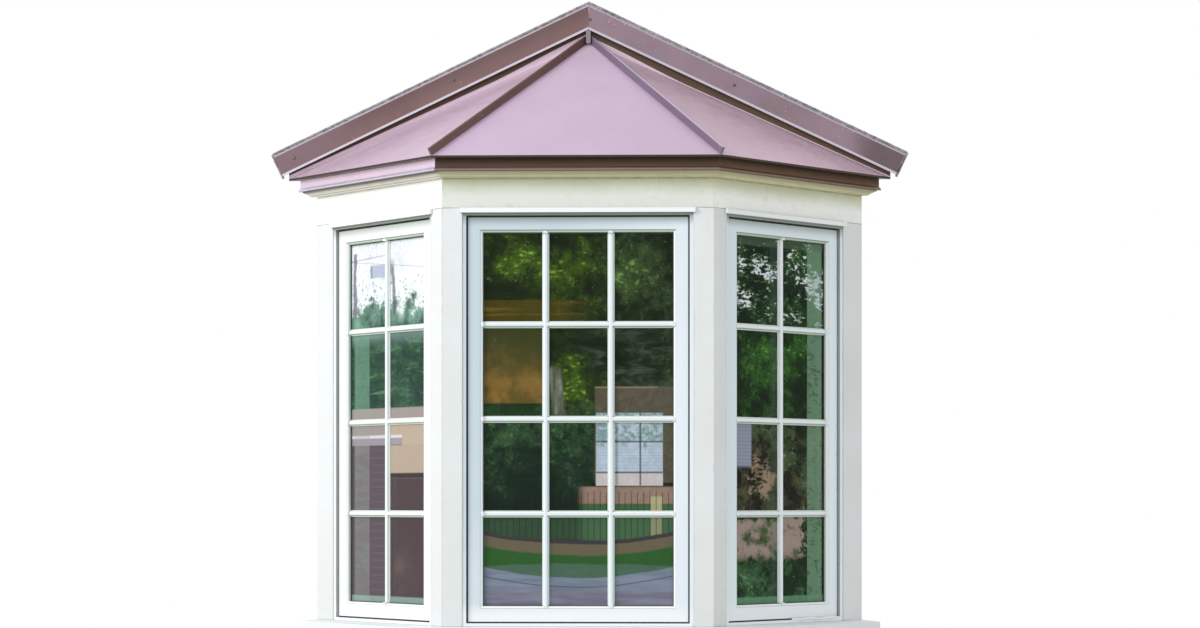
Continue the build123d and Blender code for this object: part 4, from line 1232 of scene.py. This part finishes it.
lay(thin_lines * step(z, 1.1, 1.12) * 0.5, (148, 154, 178))
dim_uprights = band(-0.204, -0.184, 0.004, u + (clump - 0.5) * 0.04) * step(z, 1.372, 1.362)
slanted = u + (z - 1.335) * 0.12 + (clump - 0.5) * 0.03
wedge = band(0.008, 0.026, 0.006, slanted) * step(z, 1.352, 1.30)
lay((dim_uprights + wedge) * step(z, 1.13, 1.16) * 0.8, (92, 88, 108))
print("left pane, upper half:", len(left.tree.nodes), "nodes")

# %% The left pane, below the middle
right_half = step(u, 0.0, 0.01)
lay(step(z, 0.834, 0.828) * 0.96, (162, 152, 148))
lay(step(z, 0.7065, 0.7035) * 0.94, (86, 74, 84))
lay(band(0.610, 0.775, 0.003) * step(u, 0.0, 0.012) * 0.88, (190, 172, 152))
stripe_end = step(u, 0.078, 0.073)
lay(band(0.706, 0.738, 0.002) * stripe_end * 0.8, (150, 146, 160))
lay(band(0.729, 0.739, 0.0015) * stripe_end * 0.85, (226, 219, 230))
lay(band(0.7035, 0.7065, 0.001) * right_half * stripe_end * 0.7, (92, 80, 80))
lay(step(z, 0.610, 0.606) * step(z, 0.592, 0.596) * right_half * 0.8, (58, 44, 42))
fine_rows = left.lines(z, 0.025, 0.35) * band(0.20, 0.69, 0.02) * band(-0.10, -0.01, 0.01, u)
lay(fine_rows * 0.3, (124, 104, 106))
blur = left.glow((0.10, 0.26, 0.09, 0.12, 0.6)) * step(mass, 0.3, 0.7)
lay(step(z, 0.592, 0.588) * right_half * 0.9, mix(blur, (78, 64, 66), (126, 108, 102)))
lay(left.dots(120, 0.09) * step(z, 0.46, 0.40) * 0.5, (190, 180, 176))
reveal = mix(step(z, 0.84, 0.82), (128, 178, 150), (150, 156, 152))
veil = 0.34 + step(layers, 0.6, 0.4) * 0.14
lay(band(-0.196, -0.110, 0.003, u) * step(z, 1.16, 1.10) * veil, reveal)
lay(step(z, 0.194, 0.188) * 0.6, (160, 190, 182))
street_faces["left"] = left.finish_pane()
print("left pane:", len(left.tree.nodes), "nodes")

# %% The inner glass
clear_glass = Finish("clear_glass", (196, 222, 204)).done(0.02, Alpha=0.04, Specular_IOR_Level=0.3)
print("inner glass:", clear_glass.name)

# %% The spacer and the seals
def plain_seal(name, colour, dusty, rough, grain=24):
    """Rubber or metal strip, dulled by dust, with painted shade in its corners."""
    finish = Finish(name, colour)
    soft = finish.cloud(grain, 4, 0.6)
    finish.lay(finish.step(soft, 0.35, 0.7) * 0.5, dusty)
    # Painted shade in the corners.
    finish.lay(finish.corner_shade(0.006) * 0.5, (52, 52, 46))
    return finish.done(finish.step(soft, 0.3, 0.7, rough - 0.06, rough + 0.08), soft, 0.0004)


spacer_grey = plain_seal("spacer_grey", (150, 164, 154), (120, 132, 122), 0.4, 30)
glazing_rubber = plain_seal("glazing_rubber", (64, 78, 66), (88, 102, 88), 0.55)
seal_rubber = plain_seal("seal_rubber", (48, 48, 56), (66, 66, 74), 0.62)
print("seals:", spacer_grey.name, glazing_rubber.name, seal_rubber.name)

# %% Sealed units
PANE = 0.004
GLASS_EDGE = 0.0097
SPACER_WIDTH = 0.007
SPACER_INSET = 0.0055
SPACER_PLAY = 0.0001

for name, window in windows.items():
    half = window["sight"] + GLASS_EDGE
    low, high = SIGHT_LOW - GLASS_EDGE, SIGHT_HIGH + GLASS_EDGE
    bm = bmesh.new()
    block(bm, (-half, GLASS_FRONT, low), (half, GLASS_FRONT + PANE, high))
    block(bm, (-half, GLASS_BACK - PANE, low), (half, GLASS_BACK, high))
    for face in bm.faces:
        face.material_index = 0 if face.calc_center_median().y < GLASS_FRONT + 1e-5 else 1
    before = len(bm.faces)
    sight_ring(
        bm, window, GLASS_EDGE - SPACER_INSET, SPACER_WIDTH, GLASS_FRONT + PANE + SPACER_PLAY,
        GLASS_BACK - PANE - SPACER_PLAY)
    bm.faces.ensure_lookup_table()
    for face in bm.faces[before:]:
        face.material_index = 2
    looks = [street_faces[name], clear_glass, spacer_grey]
    unit = make_piece("sealed_unit_" + name, bm, looks, window["axes"])
    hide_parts("glass_" + name)
    print(unit.name, len(unit.data.polygons), "faces")

# %% [markdown]
# A rubber strip closes the gap between each sash and its frame. It sits a little below the sash's
# face, where it only shows as a darker line. A thinner seal fills the last millimetres between
# each glazing bead and the glass.

# %% Weatherstrips and glazing seals
FRAME_FACE = 0.015
FRAME_FOOT = 0.0104
FRAME_HEAD = 0.0249
GAP = 0.005
STRIP_FRONT = 0.0175
STRIP_BACK = 0.030
SEAL_FACE = 0.0278

for name, window in windows.items():
    bm = bmesh.new()
    low, high = WINDOW_LOW + FRAME_FOOT, WINDOW_HIGH - FRAME_HEAD
    verts = ring(bm, window["half"] - FRAME_FACE, low, high, GAP, STRIP_FRONT, STRIP_BACK)
    round_over(bm, edges_at(verts, 1, STRIP_FRONT), 0.0016, 3)
    strip = make_piece("weatherstrip_" + name, bm, [seal_rubber], window["axes"])
    bm = bmesh.new()
    verts = sight_ring(bm, window, SEAL_OUT, SEAL_OUT, SEAL_FACE, GLASS_FRONT)
    round_over(bm, edges_at(verts, 1, SEAL_FACE), 0.0008, 3)
    seal = make_piece("glazing_seal_" + name, bm, [glazing_rubber], window["axes"])
    print(strip.name, len(strip.data.polygons), "faces,", seal.name, len(seal.data.polygons))

# %% [markdown]
# ## Caulk and sealant
#
# Caulk is squeezed out by hand, so its width wavers. A bead grows from a small disc: its front
# face is extruded from point to point along a line, and each new face is moved, turned and
# resized a little. The noise that sets the size is the same on each run.

# %% A bead along a line
def grow_face(bm, face, first):
    """Extrudes a face. The old one stays only where it closes the start. Returns the new one."""
    grown = bmesh.ops.extrude_face_region(bm, geom=[face])["geom"]
    if not first and face.is_valid:
        bmesh.ops.delete(bm, geom=[face], context="FACES_ONLY")
    front = next(item for item in grown if isinstance(item, bmesh.types.BMFace))
    return front, list(front.verts)


def bead_along(bm, points, radius, waver, sides=8, rough=40.0):
    """A closed bead that follows some points and changes in size on the way."""
    way = (points[1] - points[0]).normalized()
    matrix = Matrix.Translation(points[0]) @ way.to_track_quat("Z", "Y").to_matrix().to_4x4()
    start = bmesh.ops.create_circle(bm, cap_ends=True, segments=sides, radius=radius, matrix=matrix)["verts"]
    front = start[0].link_faces[0]
    size = 1.0
    for here, there in zip(points, points[1:]):
        front, verts = grow_face(bm, front, here is points[0])
        bmesh.ops.translate(bm, vec=there - here, verts=verts)
        new_way = (there - here).normalized()
        turned = way.rotation_difference(new_way).to_matrix()
        bmesh.ops.rotate(bm, cent=there, matrix=turned, verts=verts)
        way = new_way
        wanted = 1.0 + waver * noise.noise(there * rough)
        bmesh.ops.scale(bm, vec=[wanted / size] * 3, space=Matrix.Translation(-there), verts=verts)
        size = wanted


def steps(start, end, count):
    """Points at equal steps from start to end."""
    start, end = Vector(start), Vector(end)
    return [start.lerp(end, index / count) for index in range(count + 1)]


trial = bmesh.new()
bead_along(trial, steps((0, 0, 0), (0, 0, 1), 3), 0.01, 0.5)
print("bead: faces", len(trial.faces), "open edges", sum(not edge.is_manifold for edge in trial.edges))
trial.free()

# %% Caulk round the frames and in the corners
CAULK = 0.0022
CAULK_DEPTH = 0.0018
CAULK_OVERLAP = 0.0008
CAULK_FOOT = WINDOW_LOW + 0.001
CORNER_CAULK = 0.0011
CORNER_DEPTH = 0.0006
caulk_white = board_paint("caulk_white", (222, 226, 224), (190, 190, 178), corner_dirt_and_shade=0.7)

for name, window in windows.items():
    bm = bmesh.new()
    for side in (-1, 1):
        x = side * (window["half"] - CAULK_OVERLAP)
        bead_along(bm, steps((x, CAULK_DEPTH, CAULK_FOOT), (x, CAULK_DEPTH, CAP_FOOT), 70), CAULK, 0.5)
    caulk = make_piece("frame_caulk_" + name, bm, [caulk_white], window["axes"], smooth=60)
    print(caulk.name, len(caulk.data.polygons), "faces")

bm = bmesh.new()
for x in (-HALF_FRONT, HALF_FRONT):
    y = CORNER_DEPTH - PROJECTION
    bead_along(bm, steps((x, y, CAULK_FOOT), (x, y, WINDOW_HIGH), 110), CORNER_CAULK, 0.9, sides=6, rough=55.0)
corner_caulk = make_piece("corner_caulk", bm, [caulk_white], smooth=60)
print(corner_caulk.name, len(corner_caulk.data.polygons), "faces")

# %% [markdown]
# The wall flashing is bedded to the house wall with a rough grey sealant, along its top and down
# both ends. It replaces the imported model's plain strip, and stays inside it: the bead is
# flattened where it meets the wall plane.

# %% Wall sealant
SEALANT_HALF = 0.0045
SEALANT_OUT = 0.0070
SEALANT_MIDDLE = -0.0026
SEALANT_BELOW = 0.003
LUMP_OUT = 0.0016
LUMP_DOWN = 0.0012
across = Vector((uphill.z, 0, -uphill.x))

sealant = Finish("rough_sealant", (178, 172, 178))
lumps = sealant.cloud(60, 5, 0.7)
sealant.lay(sealant.step(lumps, 0.3, 0.7), (120, 112, 112))
sealant.spots(120, 0.2, 0.6, (88, 76, 70))
rough_sealant = sealant.done(0.8, lumps, 0.003)

bm = bmesh.new()
for side in (-1, 1):
    foot = RAKE_FOOT - uphill * SEALANT_HALF
    knee = foot + across * (FLASHING_WIDTH + SEALANT_HALF)
    top = knee - uphill * (knee.x / uphill.x)
    line = steps(foot - across * SEALANT_BELOW, knee, 16) + steps(knee, top, 230)[1:]
    line = [Vector((point.x * side, SEALANT_MIDDLE, point.z)) for point in line]
    bead_along(bm, line, SEALANT_HALF * 0.93, 0.16, sides=10, rough=70.0)
for vert in bm.verts:
    lump = noise.noise(vert.co * 190.0)
    vert.co.y -= max(0.0, lump) * LUMP_OUT
    vert.co.y = min(0.0, max(-SEALANT_OUT, vert.co.y))
    vert.co.z += min(0.0, lump) * LUMP_DOWN
wall_sealant = make_piece("wall_sealant", bm, [rough_sealant], smooth=60)
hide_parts("sealant")
print(wall_sealant.name, len(wall_sealant.data.polygons), "faces")

# %% [markdown]
# ## Fixings
#
# Screws with a washer head hold the flashing. Each is a low cone for the washer and a six-sided
# cone for the head, with its rim eased. The trim's nails were punched, filled and painted over, so
# they only show as faint discs.

# %% Screws in the flashing
WEB_OUT = 0.020
RIM_OUT = 0.0048
SCREWS = ((0.063, 0.043, -1), (0.063, 0.038, 1), (0.682, 0.045, -1), (0.640, 0.042, 1))
APEX_SCREW = (0.0054, 2.1905)

worn_steel = Finish("screw_steel", (124, 122, 130))
worn_steel.lay(worn_steel.step(worn_steel.cloud(300, 3), 0.35, 0.7), (76, 66, 64))
screw_steel = worn_steel.done(0.38, Metallic=0.7)

def cone(bm, matrix, segments, foot, top, depth):
    """A closed cone between two radii. Returns its points."""
    return bmesh.ops.create_cone(
        bm, cap_ends=True, segments=segments, radius1=foot, radius2=top, depth=depth, matrix=matrix)["verts"]


def screw(bm, x, z):
    """A washer and a hexagonal head that point out of the flashing."""
    outward = Matrix.Translation((x, -WEB_OUT, z)) @ Matrix.Rotation(QUARTER, 4, "X")
    cone(bm, outward @ Matrix.Translation((0, 0, 0.0006)), 20, 0.0058, 0.0050, 0.0014)
    head = outward @ Matrix.Translation((0, 0, 0.0030)) @ Matrix.Rotation(x * 9, 4, "Z")
    verts = cone(bm, head, 6, 0.0038, 0.0036, 0.0036)
    round_over(bm, edges_at(verts, 1, -WEB_OUT - RIM_OUT), 0.0006, 2)


bm = bmesh.new()
for along, up, side in SCREWS:
    point = RAKE_FOOT + uphill * along + across * up
    screw(bm, point.x * side, point.z)
screw(bm, *APEX_SCREW)
screws = make_piece("flashing_screws", bm, [screw_steel])
print(screws.name, len(screws.data.polygons), "faces")

# %% Filled nails
NAIL = 0.0028
NAIL_HEIGHTS = (0.15, 0.49, 0.83, 1.13, 1.43)
NAIL_COLUMNS = {
    "front": ((-1, 0.014), (-1, 0.050), (1, 0.014), (1, 0.050)),
    "left": ((1, 0.014), (1, 0.044), (-1, 0.014), (-1, 0.078)),
    "right": ((-1, 0.014), (-1, 0.044), (1, 0.014), (1, 0.078)),
}
HEAD_NAILS = 1.512
nail_filler = board_paint("nail_filler", (220, 225, 223), (204, 206, 198), corner_dirt_and_shade=0.3)
draw = random.Random(7)

def filled_nail(bm, axes, x, z, stray_x, stray_z):
    """A faint disc near a place in a window's axes."""
    place = (x + draw.uniform(-stray_x, stray_x), 0, z + draw.uniform(-stray_z, stray_z))
    matrix = axes @ Matrix.Translation(place) @ Matrix.Rotation(QUARTER, 4, "X")
    cone(bm, matrix, 12, NAIL, NAIL * 0.8, 0.0006)


bm = bmesh.new()
for name, window in windows.items():
    for side, beside in NAIL_COLUMNS[name]:
        for z in NAIL_HEIGHTS:
            filled_nail(bm, window["axes"], side * (window["half"] + beside), z, 0.003, 0.03)
    for share in (-0.92, 0.04, 0.9):
        filled_nail(bm, window["axes"], share * window["half"], HEAD_NAILS, 0.02, 0.012)
trim_nails = make_piece("trim_nails", bm, [nail_filler])
print(trim_nails.name, len(trim_nails.data.polygons), "faces")

# %% [markdown]
# ## The bed moulding
#
# Under the fascia runs a moulding with a cove, a small round and a quirk between them. Its
# section is drawn once as a flat face at the left end of the wall. The face is extruded to each
# corner of the bay in turn. At a corner the section lies in the mitre, so a matrix for each place
# says which way the section leans there. The long edges are then beveled: outward ones round over
# and inward ones become coves.

# %% A mitred run
WALL_END = HALF_FRONT + PROJECTION
LEAN = math.tan(CANT / 2)
MITRES = (
    (-WALL_END, 0.0, -math.sqrt(2), 0.0), (-HALF_FRONT, -PROJECTION, -LEAN, -1.0),
    (HALF_FRONT, -PROJECTION, LEAN, -1.0), (WALL_END, 0.0, math.sqrt(2), 0.0))

def distance_out(point):
    """How far a point stands out from the bay's faces."""
    front_out = -(point.y + PROJECTION)
    side_out = (abs(point.x) - HALF_FRONT) * math.sin(CANT) + front_out * math.cos(CANT)
    return max(front_out, side_out)


def mitred_run(bm, section):
    """Extrudes a section, given as distances out and heights, round the bay."""
    places = [
        Matrix(((lean_x, -lean_y, 0, x), (lean_y, lean_x, 0, y), (0, 0, 1, 0), (0, 0, 0, 1)))
        for x, y, lean_x, lean_y in MITRES]
    verts = [bm.verts.new(places[0] @ Vector((out, 0, height))) for out, height in section]
    face = bmesh.ops.contextual_create(bm, geom=verts)["faces"][0]
    for here, there in zip(places, places[1:]):
        face, moved = grow_face(bm, face, here is places[0])
        bmesh.ops.transform(bm, matrix=there @ here.inverted(), verts=moved)


def run_edges(bm, out, height):
    """The long edges of a run at one place of its section."""
    return [
        edge for edge in bm.edges
        if edge.calc_length() > 0.2
        and all(abs(distance_out(v.co) - out) < 1e-5 and abs(v.co.z - height) < 1e-5 for v in edge.verts)]


print("mitres of a run:", len(MITRES))

# %% The moulding's section
MOULDING_SECTION = (
    (0.0, 1.5765), (0.0140, 1.5765), (0.0140, 1.5786), (0.0200, 1.5786), (0.0200, 1.5834), (0.0172, 1.5834),
    (0.0172, 1.5932), (0.0368, 1.5932), (0.0368, 1.5953), (0.0215, 1.5953), (0.0215, 1.6028), (0.0, 1.6028))
MOULDING_ROUNDS = (
    (0.0172, 1.5932, 0.0088), (0.0200, 1.5786, 0.0022), (0.0200, 1.5834, 0.0022), (0.0368, 1.5932, 0.0008))

bm = bmesh.new()
mitred_run(bm, MOULDING_SECTION)
for out, height, width in MOULDING_ROUNDS:
    edges = run_edges(bm, out, height)
    round_over(bm, edges, width, 5)
    print("rounded", len(edges), "edges at", out, height)
bed_moulding = make_piece("bed_moulding", bm, [finish_of["bed_mouldings"]], smooth=28)
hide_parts("bed_mouldings")
print(bed_moulding.name, len(bed_moulding.data.polygons), "faces")

# %% [markdown]
# ## Folds on the roof's seams
#
# A standing seam is two sheets folded over each other, so its upper half is a little thicker than
# its foot. A thin strip over each packed seam gives it that fold, eased along its edges.

# %% Seam folds
HIP_CORNER = Vector((0.4762, -0.57417, EAVE_HEIGHT))
APEX = Vector((0, 0, APEX_HEIGHT))
SEAM_TOP = 0.023
FOLD_HALF = 0.0053
FOLD_START = 0.034
FOLD_SHORT = 0.006
FOLD_DROP = 0.0105
FOLD_RISE = 0.0004

for side, name in ((-1, "left"), (1, "right")):
    hip = Vector((HIP_CORNER.x * side, HIP_CORNER.y, HIP_CORNER.z)) - APEX
    along = hip.normalized()
    sideways = along.cross(Vector((0, 0, 1))).normalized()
    axes = Matrix((along, sideways, sideways.cross(along))).transposed().to_4x4()
    axes.translation = APEX
    bm = bmesh.new()
    low = (FOLD_START, -FOLD_HALF, SEAM_TOP - FOLD_DROP)
    high = (hip.length - FOLD_SHORT, FOLD_HALF, SEAM_TOP + FOLD_RISE)
    round_over(bm, edges_of(block(bm, low, high)), 0.0012, 3)
    fold = make_piece("seam_fold_" + name, bm, [finish_of["hip_seam_" + name]], axes)
    print(fold.name, "along", round(hip.length, 3), "m")

# %% [markdown]
# ## The loose strip
#
# At the foot of the right-hand window a strip of vinyl has come out of its groove and lies
# buckled along the frame. It starts as a flat grid, is lifted here and there by a wave, and gets
# its thickness from Solidify.

# %% Loose strip
STRIP_START = 0.03
STRIP_END = 0.266
STRIP_WIDTH = 0.0075
STRIP_THICK = 0.0011
STRIP_TILT = math.radians(78)

bm = bmesh.new()
middle = ((STRIP_START + STRIP_END) / 2, 0.0035, WINDOW_LOW + FRAME_FOOT + 0.0025)
tilt = Matrix.Translation(middle) @ Matrix.Rotation(STRIP_TILT, 4, "X")
flat_grid(bm, STRIP_END - STRIP_START, STRIP_WIDTH, tilt, 60, 3)
for vert in bm.verts:
    share = (vert.co.x - STRIP_START) / (STRIP_END - STRIP_START)
    free = math.sin(share * math.pi) ** 0.5 if 0 < share < 1 else 0.0
    vert.co.y -= free * (0.0025 + 0.002 * math.sin(vert.co.x * 95))
    vert.co.z += free * (0.0012 * math.sin(vert.co.x * 60 + 1.0) + 0.0008 * noise.noise(vert.co * 60))
loose_strip = make_piece(
    "loose_strip", bm, [window_coats["right"]], windows["right"]["axes"], smooth=60)
thickness = loose_strip.modifiers.new("thickness", "SOLIDIFY")
thickness.thickness = STRIP_THICK
thickness.offset = 0
print(loose_strip.name, len(loose_strip.data.polygons), "faces")
